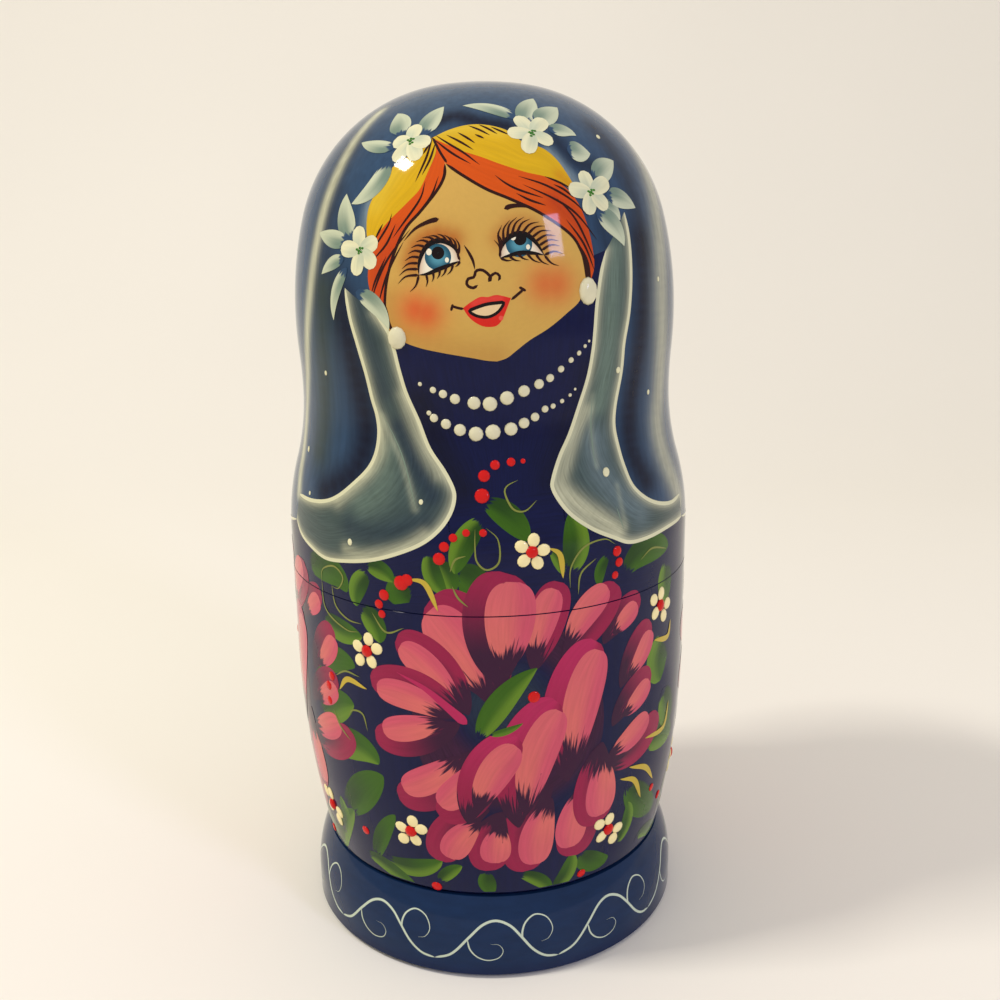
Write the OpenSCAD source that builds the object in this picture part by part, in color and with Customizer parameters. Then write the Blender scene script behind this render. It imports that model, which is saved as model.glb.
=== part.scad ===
// Matryoshka: a set of turned limewood dolls, each one holding the next.
// Every doll opens at its belly, where a spigot on the lower half plugs into a socket in the upper half.
// The innermost doll is solid. The outer doll stands on a separate turned plinth.
// Millimetres, +Z up, origin at the middle of the plinth's underside.

/* [Set] */
// Number of dolls, the solid one included
doll_count = 10; // [3:1:11]

/* [Plinth of the outer doll] */
// Radius of the plinth, from which every other radius of the outline follows
plinth_r = 51.3; // [42:0.1:62]
// Height of the plinth's straight side
plinth_side_h = 7; // [4:0.5:12]
// Height of the rounded shoulder above that side
plinth_round_h = 14.5; // [8:0.5:20]
// Bevel round the plinth's underside
plinth_edge = 1.2; // [0.4:0.1:2.5]
// Depth of the seat in the plinth that takes the doll's foot
seat_depth = 4; // [2:0.5:8]
// Gap for glue round the foot in its seat
seat_clearance = 0.1; // [0.05:0.05:0.3]

/* [Outline of the outer doll] */
// Step from the plinth's side in to the crevice where the body meets it
plinth_step = 3.7; // [2:0.1:6]
// Depth of the crevice
crevice_depth = 1.2; // [0.6:0.1:2.5]
// Height of the curve from the crevice to the belly
foot_curve_h = 53.5; // [40:0.5:65]
// Swell from the crevice out to the belly
belly_swell = 5.6; // [4:0.1:9]
// Height of the belly's straight stretch
barrel_h = 34; // [28:0.5:45]
// Height of the seam above the start of that stretch
seam_up = 24.5; // [15:0.5:26]
// Height of the shoulder curve from the belly to the neck
shoulder_h = 36.5; // [28:0.5:48]
// Step from the belly in to the neck
neck_step = 5.3; // [3:0.1:7]
// Height from the neck to the widest part of the head
head_rise = 18.5; // [12:0.5:26]
// Swell from the neck out to the head
head_swell = 0.8; // [0.4:0.1:3]
// Height of the dome above the widest part of the head
dome_h = 56; // [50:0.5:64]
// How much the arc radius of the dome's side is more than the dome's height
dome_side_more = 39; // [30:0.5:50]
// How much the arc radius between the side and the crown is less than the head's radius
dome_corner_less = 6.7; // [4:0.1:12]
// How much the arc radius of the crown is more than the head's radius
crown_more = 26.3; // [18:0.1:36]

/* [Walls and fits of the outer doll] */
// Wall of the upper half outside its socket
rim_wall = 4; // [3:0.1:5]
// Height of the spigot
spigot_h = 14; // [8:0.5:16]
// Bevel that leads the spigot into its socket
spigot_lead = 0.8; // [0.3:0.1:1.5]
// Thickness of the wood at the crown
crown_wall = 8; // [5:0.5:11]
// Bevel along each edge of the seam
seam_bevel = 0.3; // [0.1:0.05:0.6]
// Radial clearance of a spigot in its socket, the same on every doll
fit_clearance = 0.06; // [0.03:0.01:0.1]
// Gap above a spigot's end in its socket, the same on every doll
end_gap = 0.4; // [0.3:0.1:0.8]
// Gap between the outer doll and the one inside it
nest_gap = 1.2; // [0.8:0.1:2]

/* [From one doll to the next] */
// Part of a doll's belly radius that lies between its outside and the next doll
nest_part = 0.143; // [0.13:0.001:0.16]
// What lies between them besides, on every doll
nest_least = 1.36; // [1:0.02:1.8]
// Rim wall of a doll of no size
least_rim_wall = 0.5; // [0.3:0.1:0.7]
// Nesting gap of a doll of no size
least_nest_gap = 0.3; // [0.3:0.05:0.5]

/* [Hidden] */
$fn = 128;

// Overlap of cutting shapes past the faces that they cut
past = 1;
// Length of the short straight steps that make up a curve of the outer doll
facet = 3;
// Points closer than this count as one
same = 0.001;

// A floor's height is a whole number of these steps, so that the doll on it touches it and no more
floor_step = 0.05;

// Radii along the outer doll
foot_r = plinth_r - plinth_step;
belly_r = foot_r + belly_swell;
neck_r = belly_r - neck_step;
head_r = neck_r + head_swell;

// Arc radii of the outer doll's dome
dome_arcs = [dome_h + dome_side_more, head_r - dome_corner_less, head_r + crown_more];

// Heights along the outer doll
plinth_h = plinth_side_h + plinth_round_h;
barrel_z = plinth_h + foot_curve_h;
seam_z = barrel_z + seam_up;
shoulder_z = barrel_z + barrel_h;
neck_z = shoulder_z + shoulder_h;
head_z = neck_z + head_rise;
doll_h = head_z + dome_h;

// Radius of the foot inside the crevice, which is also the foot's radius in its seat
tenon_r = foot_r - crevice_depth;

// A size on a doll of scale s, from its size on the outer doll and on a doll of no size
function graded(outer, least, s) = least + (outer - least) * s;
function rim_wall_at(s) = graded(rim_wall, least_rim_wall, s);
function nest_gap_at(s) = graded(nest_gap, least_nest_gap, s);

// Scale of doll k. Between two bellies lie the rim, the fit, the spigot and the gap, and the spigot's wall is what
// the other three leave of that room.
function next_scale(s) = s * (1 - nest_part) - nest_least / belly_r;
function scale_of(k) = k == 1 ? 1 : next_scale(scale_of(k - 1));

// Height of a doll's inner floor above its own underside, and of doll k's underside above the ground
function floor_of(s) =
    floor_step * round(((s - next_scale(s)) * doll_h - s * crown_wall - nest_gap_at(s)) / floor_step);
function base_of(k) = k == 1 ? 0 : base_of(k - 1) + floor_of(scale_of(k - 1));

function node_name(k, piece) = str("doll_", k < 10 ? "0" : "", k, "_", piece);

// Radius of an arc that leaves a vertical line and moves w sideways over the height h
function arc_over(w, h) = (h * h + w * w) / (2 * abs(w));

// Points along an arc round the centre c, from one angle to another, about one step apart
function arc(c, radius, from, to, step = facet) =
    let (steps = ceil(radius * abs(to - from) * PI / 180 / step))
    [for (i = [0 : steps]) let (a = from + (to - from) * i / steps) c + radius * [cos(a), sin(a)]];

// Two equal arcs from the upright radius r0 at z0 to the upright radius r1 at z1
function ogee(r0, z0, r1, z1) =
    let (
        out = r0 > r1 ? 1 : -1,
        radius = arc_over((r1 - r0) / 2, (z1 - z0) / 2),
        turn = asin((z1 - z0) / 2 / radius),
        flip = out > 0 ? 0 : 180
    )
    concat(
        arc([r0 - out * radius, z0], radius, flip, flip + out * turn),
        arc([r1 + out * radius, z1], radius, flip + 180 + out * turn, flip + 180)
    );

// Dome of radius r and height h on the level z, with three arcs that run smoothly into each other
function dome(r, h, z, arcs, step = facet) =
    let (
        side = arcs[0],
        corner = arcs[1],
        crown = arcs[2],
        side_c = [r - side, z],
        crown_c = [0, z + h - crown],
        // The corner arc's centre lies on a circle round each of the other two centres
        apart = norm(crown_c - side_c),
        along = (pow(side - corner, 2) - pow(crown - corner, 2) + apart * apart) / (2 * apart),
        across = sqrt(pow(side - corner, 2) - along * along),
        way = (crown_c - side_c) / apart,
        corner_c = side_c + along * way + across * [-way[1], way[0]],
        // Angles at which one arc gives way to the next
        low = atan2(corner_c[1] - side_c[1], corner_c[0] - side_c[0]),
        high = atan2(corner_c[1] - crown_c[1], corner_c[0] - crown_c[0])
    )
    concat(
        arc(side_c, side, 0, low, step),
        arc(corner_c, corner, low, high, step),
        arc(crown_c, crown, high, 90, step)
    );

// Plinth: a side bevelled below, rounded over to the crevice
plinth_arc = arc_over(plinth_r - foot_r, plinth_round_h);
plinth_points = concat(
    [[0, 0], [plinth_r - plinth_edge, 0], [plinth_r, plinth_edge]],
    arc([plinth_r - plinth_arc, plinth_side_h], plinth_arc, 0, asin(plinth_round_h / plinth_arc))
);

// Body: the foot's edge, the curve up to the belly, the shoulder, the neck, the head and the dome
foot_rise = foot_curve_h - crevice_depth;
foot_arc = arc_over(belly_r - foot_r, foot_rise);
body_points = concat(
    [[tenon_r, plinth_h]],
    arc([belly_r - foot_arc, barrel_z], foot_arc, -asin(foot_rise / foot_arc), 0),
    ogee(belly_r, shoulder_z, neck_r, neck_z),
    ogee(neck_r, neck_z, head_r, head_z),
    dome(head_r, dome_h, head_z, dome_arcs)
);

// A point where two stretches of an outline meet is kept once
function once(points) =
    [for (i = [0 : len(points) - 1]) if (i == 0 || norm(points[i] - points[i - 1]) > same) points[i]];

module plinth_outline() {
    polygon(once(concat(plinth_points, [[0, plinth_h]])));
}

module body_outline() {
    polygon(once(concat([[0, plinth_h]], body_points)));
}

// Outline of a whole doll, with its plinth turned in one piece with its body
module doll_outline() {
    polygon(once(concat(plinth_points, body_points)));
}

// Hollow of a doll of scale s, which is the next doll's room with the nesting gap round it
module cup_hollow(s) {
    next = next_scale(s);
    gap = nest_gap_at(s);
    floor_z = floor_of(s);
    mouth_r = next * belly_r + gap;
    polygon([
        [0, floor_z],
        [next * plinth_r + gap, floor_z],
        [mouth_r, floor_z + next * barrel_z],
        [mouth_r, s * (seam_z + spigot_h) + past],
        [0, s * (seam_z + spigot_h) + past]
    ]);
}
module cap_hollow(s) {
    next = next_scale(s);
    gap = nest_gap_at(s);
    floor_z = floor_of(s);
    mouth_r = next * belly_r + gap;
    inner_head_r = next * head_r + gap;
    inner_head_z = floor_z + next * head_z;
    polygon(once(concat(
        [
            [0, s * seam_z - past],
            [mouth_r, s * seam_z - past],
            [mouth_r, floor_z + next * shoulder_z],
            [inner_head_r, floor_z + next * neck_z]
        ],
        dome(
            inner_head_r, next * dome_h + gap, inner_head_z,
            [for (radius = dome_arcs) next * radius + gap],
            next * facet
        )
    )));
}

// Bevel along one edge of the seam, on the half above it (side 1) or below it (side -1)
module seam_cut(s, side) {
    bevel = s * seam_bevel;
    translate([s * belly_r, s * seam_z])
        polygon([
            [-bevel, 0],
            [past, side * (bevel + past)],
            [past, -side * past],
            [-bevel, -side * past]
        ]);
}

// Lower half of a doll of scale s, from the outline of its wood below the seam
module lower_profile(s) {
    socket_r = s * belly_r - rim_wall_at(s);
    spigot_r = socket_r - fit_clearance;
    lead = s * spigot_lead;
    spigot_top = s * (seam_z + spigot_h);
    difference() {
        union() {
            intersection() {
                children();
                square([2 * belly_r, s * seam_z]);
            }
            polygon([
                [0, s * barrel_z],
                [spigot_r, s * barrel_z],
                [spigot_r, spigot_top - lead],
                [spigot_r - lead, spigot_top],
                [0, spigot_top]
            ]);
        }
        cup_hollow(s);
        seam_cut(s, -1);
    }
}

// Upper half of a doll of scale s, from the outline of its wood above the seam
module upper_profile(s) {
    socket_r = s * belly_r - rim_wall_at(s);
    difference() {
        intersection() {
            children();
            translate([0, s * seam_z]) square([2 * belly_r, s * doll_h]);
        }
        cap_hollow(s);
        translate([0, s * seam_z - past]) square([socket_r, s * spigot_h + end_gap + past]);
        seam_cut(s, 1);
    }
}

// Sub-parts

module plinth() {
    color([0.10, 0.18, 0.38])
        rotate_extrude()
            difference() {
                plinth_outline();
                translate([0, plinth_h - seat_depth])
                    square([tenon_r + seat_clearance, seat_depth + past]);
            }
}

module lower_half(k) {
    s = scale_of(k);
    color([0.08, 0.10, 0.25])
        translate([0, 0, base_of(k)])
            rotate_extrude()
                lower_profile(s)
                    if (k == 1) {
                        body_outline();
                        translate([0, plinth_h - seat_depth]) square([tenon_r, seat_depth]);
                    } else
                        scale(s) doll_outline();
}

module upper_half(k) {
    s = scale_of(k);
    color([0.30, 0.38, 0.46])
        translate([0, 0, base_of(k)])
            rotate_extrude()
                upper_profile(s)
                    scale(s) body_outline();
}

module solid_doll(k) {
    color([0.82, 0.67, 0.37])
        translate([0, 0, base_of(k)])
            scale(scale_of(k))
                rotate_extrude() doll_outline();
}

plinth();
for (k = [1 : doll_count - 1]) {
    lower_half(k);
    upper_half(k);
}
solid_doll(doll_count);
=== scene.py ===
"""A set of nesting dolls: turned limewood shells, painted by brush and lacquered, in a plain studio."""

import logging
import math
from dataclasses import dataclass
from enum import Enum, IntEnum
from functools import cached_property, lru_cache
from typing import Callable, Optional, Sequence

import bmesh
import bpy
import numpy as np
from bpy.types import GeometryNodeTree, Material, Mesh, Node, NodeSocket, NodeTree, Object
from mathutils import Matrix


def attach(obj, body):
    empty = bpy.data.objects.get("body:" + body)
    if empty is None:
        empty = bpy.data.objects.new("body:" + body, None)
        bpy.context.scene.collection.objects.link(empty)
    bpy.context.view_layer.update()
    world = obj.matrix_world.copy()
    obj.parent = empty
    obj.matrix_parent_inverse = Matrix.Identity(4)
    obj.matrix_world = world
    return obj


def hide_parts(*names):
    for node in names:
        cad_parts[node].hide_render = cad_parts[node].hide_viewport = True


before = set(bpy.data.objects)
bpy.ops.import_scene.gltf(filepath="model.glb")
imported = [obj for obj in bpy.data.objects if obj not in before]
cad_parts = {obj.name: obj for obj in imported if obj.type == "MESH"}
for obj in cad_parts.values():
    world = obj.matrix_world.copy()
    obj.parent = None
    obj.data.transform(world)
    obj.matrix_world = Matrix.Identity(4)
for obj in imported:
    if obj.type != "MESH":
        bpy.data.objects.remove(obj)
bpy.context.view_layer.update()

LOG = logging.getLogger("nesting_dolls")
MM = 0.001

FULL_TURN = 2.0 * math.pi
TINY = 1e-9

Array = np.ndarray
Rgb = tuple[float, float, float]
Pixel = tuple[float, float]
Run = tuple[Pixel, ...]
Pass = tuple[Run, float, Rgb, float]
Shade = Callable[[Array], Array]


def srgb(red: int, green: int, blue: int) -> Rgb:
    """Linear colour of an 8-bit screen colour."""
    parts = (np.array((red, green, blue)) / 255.0 + 0.055) / 1.055
    return tuple(float(part) for part in parts**2.4)


@dataclass(frozen=True)
class Palette:
    """Colours of the paints, the wood and the studio."""

    navy: Rgb = srgb(9, 16, 58)
    deep_navy: Rgb = srgb(10, 12, 34)
    slate: Rgb = srgb(46, 72, 100)
    dark_slate: Rgb = srgb(28, 42, 62)
    pale_slate: Rgb = srgb(128, 146, 152)
    teal_slate: Rgb = srgb(44, 58, 54)
    flare_slate: Rgb = srgb(64, 80, 78)
    veil_edge: Rgb = srgb(216, 214, 176)
    veil_glow: Rgb = srgb(176, 176, 150)
    skin: Rgb = srgb(207, 165, 82)
    skin_shade: Rgb = srgb(182, 132, 60)
    blush: Rgb = srgb(212, 92, 44)
    eye_shadow: Rgb = srgb(176, 96, 34)
    hair: Rgb = srgb(212, 168, 22)
    hair_light: Rgb = srgb(222, 188, 56)
    orange: Rgb = srgb(210, 82, 16)
    orange_dark: Rgb = srgb(190, 64, 20)
    umber: Rgb = srgb(46, 16, 12)
    ink: Rgb = srgb(18, 10, 12)
    eye_white: Rgb = srgb(240, 232, 205)
    iris: Rgb = srgb(84, 148, 164)
    iris_dark: Rgb = srgb(34, 84, 104)
    lips: Rgb = srgb(214, 40, 30)
    lips_light: Rgb = srgb(230, 84, 70)
    teeth: Rgb = srgb(232, 200, 150)
    cream: Rgb = srgb(228, 224, 182)
    pearl: Rgb = srgb(220, 214, 178)
    leaf_pale: Rgb = srgb(198, 204, 172)
    leaf_grey: Rgb = srgb(120, 140, 122)
    stamen: Rgb = srgb(56, 120, 30)
    berry: Rgb = srgb(206, 24, 22)
    daisy: Rgb = srgb(246, 230, 170)
    green: Rgb = srgb(56, 96, 18)
    green_dark: Rgb = srgb(34, 66, 18)
    green_light: Rgb = srgb(96, 130, 34)
    mustard: Rgb = srgb(196, 170, 60)
    tendril: Rgb = srgb(128, 134, 62)
    pink: Rgb = srgb(212, 106, 100)
    pink_light: Rgb = srgb(208, 96, 102)
    pink_deep: Rgb = srgb(202, 82, 102)
    rose: Rgb = srgb(178, 38, 86)
    crimson: Rgb = srgb(148, 28, 68)
    wine: Rgb = srgb(56, 20, 50)
    plinth_blue: Rgb = srgb(18, 42, 76)
    scroll: Rgb = srgb(196, 208, 186)
    limewood: Rgb = srgb(222, 190, 140)
    limewood_dark: Rgb = srgb(190, 148, 96)
    floor: Rgb = srgb(248, 243, 231)


HUE = Palette()


def blend(first: Array, second: Array, share: Array) -> Array:
    """Colours between two others, by a share that has one axis fewer."""
    return first + (np.asarray(second) - first) * np.asarray(share)[..., None]


def ease(low: float, high: float, value: Array) -> Array:
    """Smooth step from 0 at low to 1 at high."""
    share = np.clip((np.asarray(value) - low) / (high - low), 0.0, 1.0)
    return share * share * (3.0 - 2.0 * share)


def arc(centre: Sequence[float], radius: float, start: float, end: float, step: float) -> Array:
    """Points along an arc.

    Args:
        centre: Radius and height of the arc's centre.
        radius: Its radius.
        start: Angle of the first point, in radians.
        end: Angle of the last point.
        step: Longest distance between points.

    Returns:
        Radius and height of each point.
    """
    count = max(2, math.ceil(radius * abs(end - start) / step))
    turn = np.linspace(start, end, count + 1)
    return np.column_stack([centre[0] + radius * np.cos(turn), centre[1] + radius * np.sin(turn)])


def refine(points: Array, step: float) -> Array:
    """Split the long stretches of an outline, and keep a point that comes twice once.

    Args:
        points: Radius and height of each point.
        step: Longest distance between points.

    Returns:
        The points with others between them.
    """
    rows = [points[:1]]
    for first, last in zip(points[:-1], points[1:]):
        length = float(np.hypot(*(last - first)))
        if length < 1e-4:
            continue
        count = max(1, math.ceil(length / step))
        rows.append(first + (last - first) * np.linspace(0.0, 1.0, count + 1)[1:, None])
    return np.vstack(rows)


def dome(radius: float, height: float, level: float, arcs: Sequence[float], step: float) -> Array:
    """Dome of three arcs that run smoothly into each other.

    Args:
        radius: Radius at its foot.
        height: Height above its foot.
        level: Height of its foot.
        arcs: Radii of the side arc, the corner arc and the crown arc.
        step: Longest distance between points.

    Returns:
        Radius and height of each point, from the foot to the crown.
    """
    side, corner, crown = arcs
    side_c = np.array((radius - side, level))
    crown_c = np.array((0.0, level + height - crown))
    apart = float(np.hypot(*(crown_c - side_c)))
    along = ((side - corner) ** 2 - (crown - corner) ** 2 + apart**2) / (2.0 * apart)
    across = math.sqrt((side - corner) ** 2 - along**2)
    way = (crown_c - side_c) / apart
    corner_c = side_c + along * way + across * np.array((-way[1], way[0]))
    low = math.atan2(*(corner_c - side_c)[::-1])
    high = math.atan2(*(corner_c - crown_c)[::-1])
    points = np.vstack([
        arc(side_c, side, 0.0, low, step),
        arc(corner_c, corner, low, high, step),
        arc(crown_c, crown, high, math.pi / 2, step),
    ])
    points[-1, 0] = 0.0
    return points


@dataclass(frozen=True)
class Turning:
    """Turned outline of the outer doll, in millimetres, and the surface that it sweeps."""

    plinth_r: float = 51.3
    plinth_side_h: float = 7.0
    plinth_round_h: float = 14.5
    plinth_edge: float = 1.2
    foot_r: float = 47.6
    crevice_depth: float = 1.2
    foot_curve_h: float = 53.5
    belly_r: float = 53.2
    barrel_h: float = 34.0
    seam_up: float = 24.5
    shoulder_h: float = 36.5
    neck_r: float = 47.9
    head_rise: float = 18.5
    head_r: float = 48.7
    dome_h: float = 56.0
    dome_arcs: tuple[float, float, float] = (95.0, 42.0, 75.0)
    fine_step: float = 0.2
    crown_overlap: float = 4.0
    crown_rise: float = 0.7

    @property
    def plinth_h(self) -> float:
        """Height of the plinth."""
        return self.plinth_side_h + self.plinth_round_h

    @property
    def tenon_r(self) -> float:
        """Radius inside the crevice."""
        return self.foot_r - self.crevice_depth

    @property
    def barrel_z(self) -> float:
        """Height at which the belly's straight stretch starts."""
        return self.plinth_h + self.foot_curve_h

    @property
    def seam_z(self) -> float:
        """Height of the seam."""
        return self.barrel_z + self.seam_up

    @property
    def shoulder_z(self) -> float:
        """Height at which the shoulder starts."""
        return self.barrel_z + self.barrel_h

    @property
    def neck_z(self) -> float:
        """Height of the neck."""
        return self.shoulder_z + self.shoulder_h

    @property
    def head_z(self) -> float:
        """Height of the widest part of the head."""
        return self.neck_z + self.head_rise

    @property
    def doll_h(self) -> float:
        """Height of the doll."""
        return self.head_z + self.dome_h

    def plinth_points(self, step: float) -> Array:
        """Outline of the plinth from the edge of its underside to the crevice.

        Args:
            step: Longest distance between points.

        Returns:
            Radius and height of each point.
        """
        inward = self.plinth_r - self.foot_r
        radius = (self.plinth_round_h**2 + inward**2) / (2.0 * inward)
        top = math.asin(self.plinth_round_h / radius)
        side = [(self.plinth_r - self.plinth_edge, 0.0), (self.plinth_r, self.plinth_edge)]
        shoulder = arc((self.plinth_r - radius, self.plinth_side_h), radius, 0.0, top, step)
        return refine(np.vstack([side, shoulder]), step)

    def ogee(self, lower: Pixel, upper: Pixel, step: float) -> Array:
        """Two equal arcs between two upright ends.

        Args:
            lower: Radius and height of the lower end.
            upper: Radius and height of the upper end.
            step: Longest distance between points.

        Returns:
            Radius and height of each point.
        """
        (r0, z0), (r1, z1) = lower, upper
        out = 1.0 if r0 > r1 else -1.0
        half_w, half_h = abs(r1 - r0) / 2.0, (z1 - z0) / 2.0
        radius = (half_h**2 + half_w**2) / (2.0 * half_w)
        turn = math.asin(half_h / radius)
        flip = 0.0 if out > 0 else math.pi
        return np.vstack([
            arc((r0 - out * radius, z0), radius, flip, flip + out * turn, step),
            arc((r1 + out * radius, z1), radius, flip + math.pi + out * turn, flip + math.pi, step),
        ])

    def body_points(self, step: float) -> Array:
        """Outline of the body from the crevice to the crown.

        Args:
            step: Longest distance between points.

        Returns:
            Radius and height of each point.
        """
        rise = self.foot_curve_h - self.crevice_depth
        outward = self.belly_r - self.foot_r
        radius = (rise**2 + outward**2) / (2.0 * outward)
        foot = arc((self.belly_r - radius, self.barrel_z), radius, -math.asin(rise / radius), 0.0, step)
        return refine(np.vstack([
            [(self.tenon_r, self.plinth_h)],
            foot,
            self.ogee((self.belly_r, self.shoulder_z), (self.neck_r, self.neck_z), step),
            self.ogee((self.neck_r, self.neck_z), (self.head_r, self.head_z), step),
            dome(self.head_r, self.dome_h, self.head_z, self.dome_arcs, step),
        ]), step)

    @cached_property
    def outside(self) -> Array:
        """The whole outside in fine steps, from the plinth's underside to the crown.

        Returns:
            A row for each point: radius, height and the normal's two parts.
        """
        points = np.vstack([self.plinth_points(self.fine_step), self.body_points(self.fine_step)])
        along = np.gradient(points, axis=0)
        normal = np.column_stack([along[:, 1], -along[:, 0]])
        return np.column_stack([points, normal / np.linalg.norm(normal, axis=1)[:, None]])

    @cached_property
    def crown(self) -> Array:
        """The flat top of the outside, from the axis outwards."""
        return self.outside[self.outside[:, 1] > self.crown_z - self.crown_overlap][::-1]

    @cached_property
    def crown_z(self) -> float:
        """Height above which the crown is flatter than it is steep."""
        rows = self.outside
        return float(rows[(rows[:, 1] > self.head_z) & (rows[:, 3] > self.crown_rise)][0, 1])

    def radius(self, height: Array) -> Array:
        """Radius of the outside at a height."""
        return np.interp(height, self.outside[:, 1], self.outside[:, 0])

    def _look_up(self, points: Array) -> list[Array]:
        """Find the surface next to each point.

        Args:
            points: Points near the surface.

        Returns:
            Radius, height and the normal's two parts, each for every point.
        """
        rho = np.hypot(points[..., 0], points[..., 1])
        level = points[..., 2]
        on_crown = level > self.crown_z
        return [
            np.where(
                on_crown,
                np.interp(rho, self.crown[:, 0], self.crown[:, column]),
                np.interp(level, self.outside[:, 1], self.outside[:, column]),
            )
            for column in range(4)
        ]

    def settle(self, points: Array, lift: float = 0.0) -> Array:
        """Points moved on to the surface.

        Args:
            points: Points near the surface.
            lift: How far above the surface they end.

        Returns:
            The moved points.
        """
        radius, height, out, rise = self._look_up(points)
        rho = np.maximum(np.hypot(points[..., 0], points[..., 1]), TINY)
        reach = (radius + lift * out) / rho
        return np.stack([points[..., 0] * reach, points[..., 1] * reach, height + lift * rise], axis=-1)

    def normals(self, points: Array) -> Array:
        """Outward normals of the surface.

        Args:
            points: Points near the surface.

        Returns:
            The normals.
        """
        _, _, out, rise = self._look_up(points)
        rho = np.maximum(np.hypot(points[..., 0], points[..., 1]), TINY)
        return np.stack([points[..., 0] / rho * out, points[..., 1] / rho * out, rise], axis=-1)

    def at(self, *places: tuple[float, float]) -> Array:
        """Points of the surface.

        Args:
            *places: Degrees from the front and height of each point.

        Returns:
            The points.
        """
        angle = np.radians([place[0] for place in places])
        height = np.array([place[1] for place in places], float)
        radius = self.radius(height)
        return np.column_stack([radius * np.sin(angle), -radius * np.cos(angle), height])


@dataclass(frozen=True)
class Viewpoint:
    """Camera of the photograph: millimetres and degrees round the outer doll, and pixels."""

    place: tuple[float, float, float] = (0.0, -292.6, 193.2)
    pitch: float = 15.38
    roll: float = -0.87
    yaw: float = 0.62
    focal: float = 1111.0
    frame_px: float = 1000.0
    sensor_mm: float = 36.0
    reach: float = 62.0
    halvings: int = 34

    @cached_property
    def axes(self) -> Array:
        """Directions of the camera.

        Returns:
            The directions to the right, upwards and forwards, one in each row.
        """
        pitch, roll, yaw = np.radians((self.pitch, self.roll, self.yaw))
        level = math.cos(pitch)
        ahead = np.array((math.sin(yaw) * level, math.cos(yaw) * level, -math.sin(pitch)))
        right = np.array((math.cos(yaw), -math.sin(yaw), 0.0))
        up = np.cross(right, ahead)
        return np.array([
            math.cos(roll) * right + math.sin(roll) * up,
            math.cos(roll) * up - math.sin(roll) * right,
            ahead,
        ])

    def land(self, turning: Turning, pixels: Array) -> Array:
        """Points of the surface that are seen at pixels of the photograph.

        Args:
            turning: The surface.
            pixels: Pixel places, in the last axis.

        Returns:
            Points in millimetres, in the last axis.
        """
        right, up, ahead = self.axes
        flat = (pixels.reshape(-1, 2) - self.frame_px / 2.0) / self.focal
        way = ahead + flat[:, :1] * right - flat[:, 1:] * up
        start = np.array(self.place)
        spread = np.linalg.norm(way[:, :2], axis=1)
        far = -(way[:, :2] @ start[:2]) / spread**2
        near = far - self.reach / spread
        for _ in range(self.halvings):
            middle = (near + far) / 2.0
            spot = start + way * middle[:, None]
            outside = np.hypot(spot[:, 0], spot[:, 1]) > turning.radius(spot[:, 2])
            near = np.where(outside, middle, near)
            far = np.where(outside, far, middle)
        return turning.settle(start + way * far[:, None]).reshape(*pixels.shape[:-1], 3)

    def millimetres(self, point: Array) -> float:
        """Millimetres that one pixel covers at a point."""
        return float((point - np.array(self.place)) @ self.axes[2]) / self.focal


TURNING = Turning()
VIEW = Viewpoint()
CURVE_PARTS = 12
SPRAY_STEP = 0.6


@lru_cache(maxsize=None)
def landed(pixels: Run) -> Array:
    """Points of the outer doll at pixels of the photograph."""
    return VIEW.land(TURNING, np.array(pixels, float))


def smooth(path: Array, count: int) -> Array:
    """Even points along a curve that runs smoothly through others.

    Args:
        path: The points to run through.
        count: Number of points wanted.

    Returns:
        The points of the curve.
    """
    if len(path) > 2:
        ends = np.vstack([2 * path[:1] - path[1:2], path, 2 * path[-1:] - path[-2:-1]])
        share = np.linspace(0.0, 1.0, CURVE_PARTS, endpoint=False)[:, None]
        rows = []
        for before, first, last, after in zip(ends[:-3], ends[1:-2], ends[2:-1], ends[3:]):
            bend = (2 * before - 5 * first + 4 * last - after) * share**2
            twist = (3 * first - before - 3 * last + after) * share**3
            rows.append(0.5 * (2 * first + (last - before) * share + bend + twist))
        path = np.vstack(rows + [path[-1:]])
    run = np.concatenate([[0.0], np.cumsum(np.linalg.norm(np.diff(path, axis=0), axis=1))])
    wanted = np.linspace(0.0, run[-1], count)
    return np.column_stack([np.interp(wanted, run, path[:, axis]) for axis in range(path.shape[1])])


def length_of(path: Array) -> float:
    """Length of a path."""
    return float(np.linalg.norm(np.diff(path, axis=0), axis=1).sum())


@dataclass(frozen=True)
class Spray:
    """A soft pass of thin paint along a path."""

    path: Array
    radius: float
    colour: Rgb
    strength: float


def sprays(*passes: Pass) -> list[Spray]:
    """Soft passes along pixels of the photograph, each given with its radius, colour and strength."""
    return [Spray(landed(path), radius, colour, strength) for path, radius, colour, strength in passes]


def airbrush(base: Rgb, passes: Sequence[Spray]) -> Shade:
    """A ground colour with soft passes of paint over it.

    Args:
        base: The ground colour.
        passes: The passes, in order.

    Returns:
        A function that gives the colours at points.
    """

    def shade(points: Array) -> Array:
        """Colours at points.

        Args:
            points: The points.

        Returns:
            Their colours.
        """
        flat = points.reshape(-1, 3).astype(np.float32)
        tone = np.tile(np.array(base, np.float32), (len(flat), 1))
        for spray in passes:
            count = max(2, math.ceil(length_of(spray.path) / (SPRAY_STEP * spray.radius)))
            gap = np.full(len(flat), np.inf, np.float32)
            for spot in smooth(spray.path, count).astype(np.float32):
                gap = np.minimum(gap, ((flat - spot) ** 2).sum(axis=1))
            share = spray.strength * np.exp(-gap / spray.radius**2)
            tone = blend(tone, np.array(spray.colour, np.float32), share)
        return tone.reshape(points.shape)

    return shade


class Brush(Enum):
    """Kinds of brushwork, each with a finish of its own."""

    WASH = "wash"
    SKIN = "skin"
    PETAL = "petal"
    LINER = "liner"


SWELL = 0.7
BLUNT_END = 0.04
ROUND_START = 0.08
LEAST_WIDTH = 0.06


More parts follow.
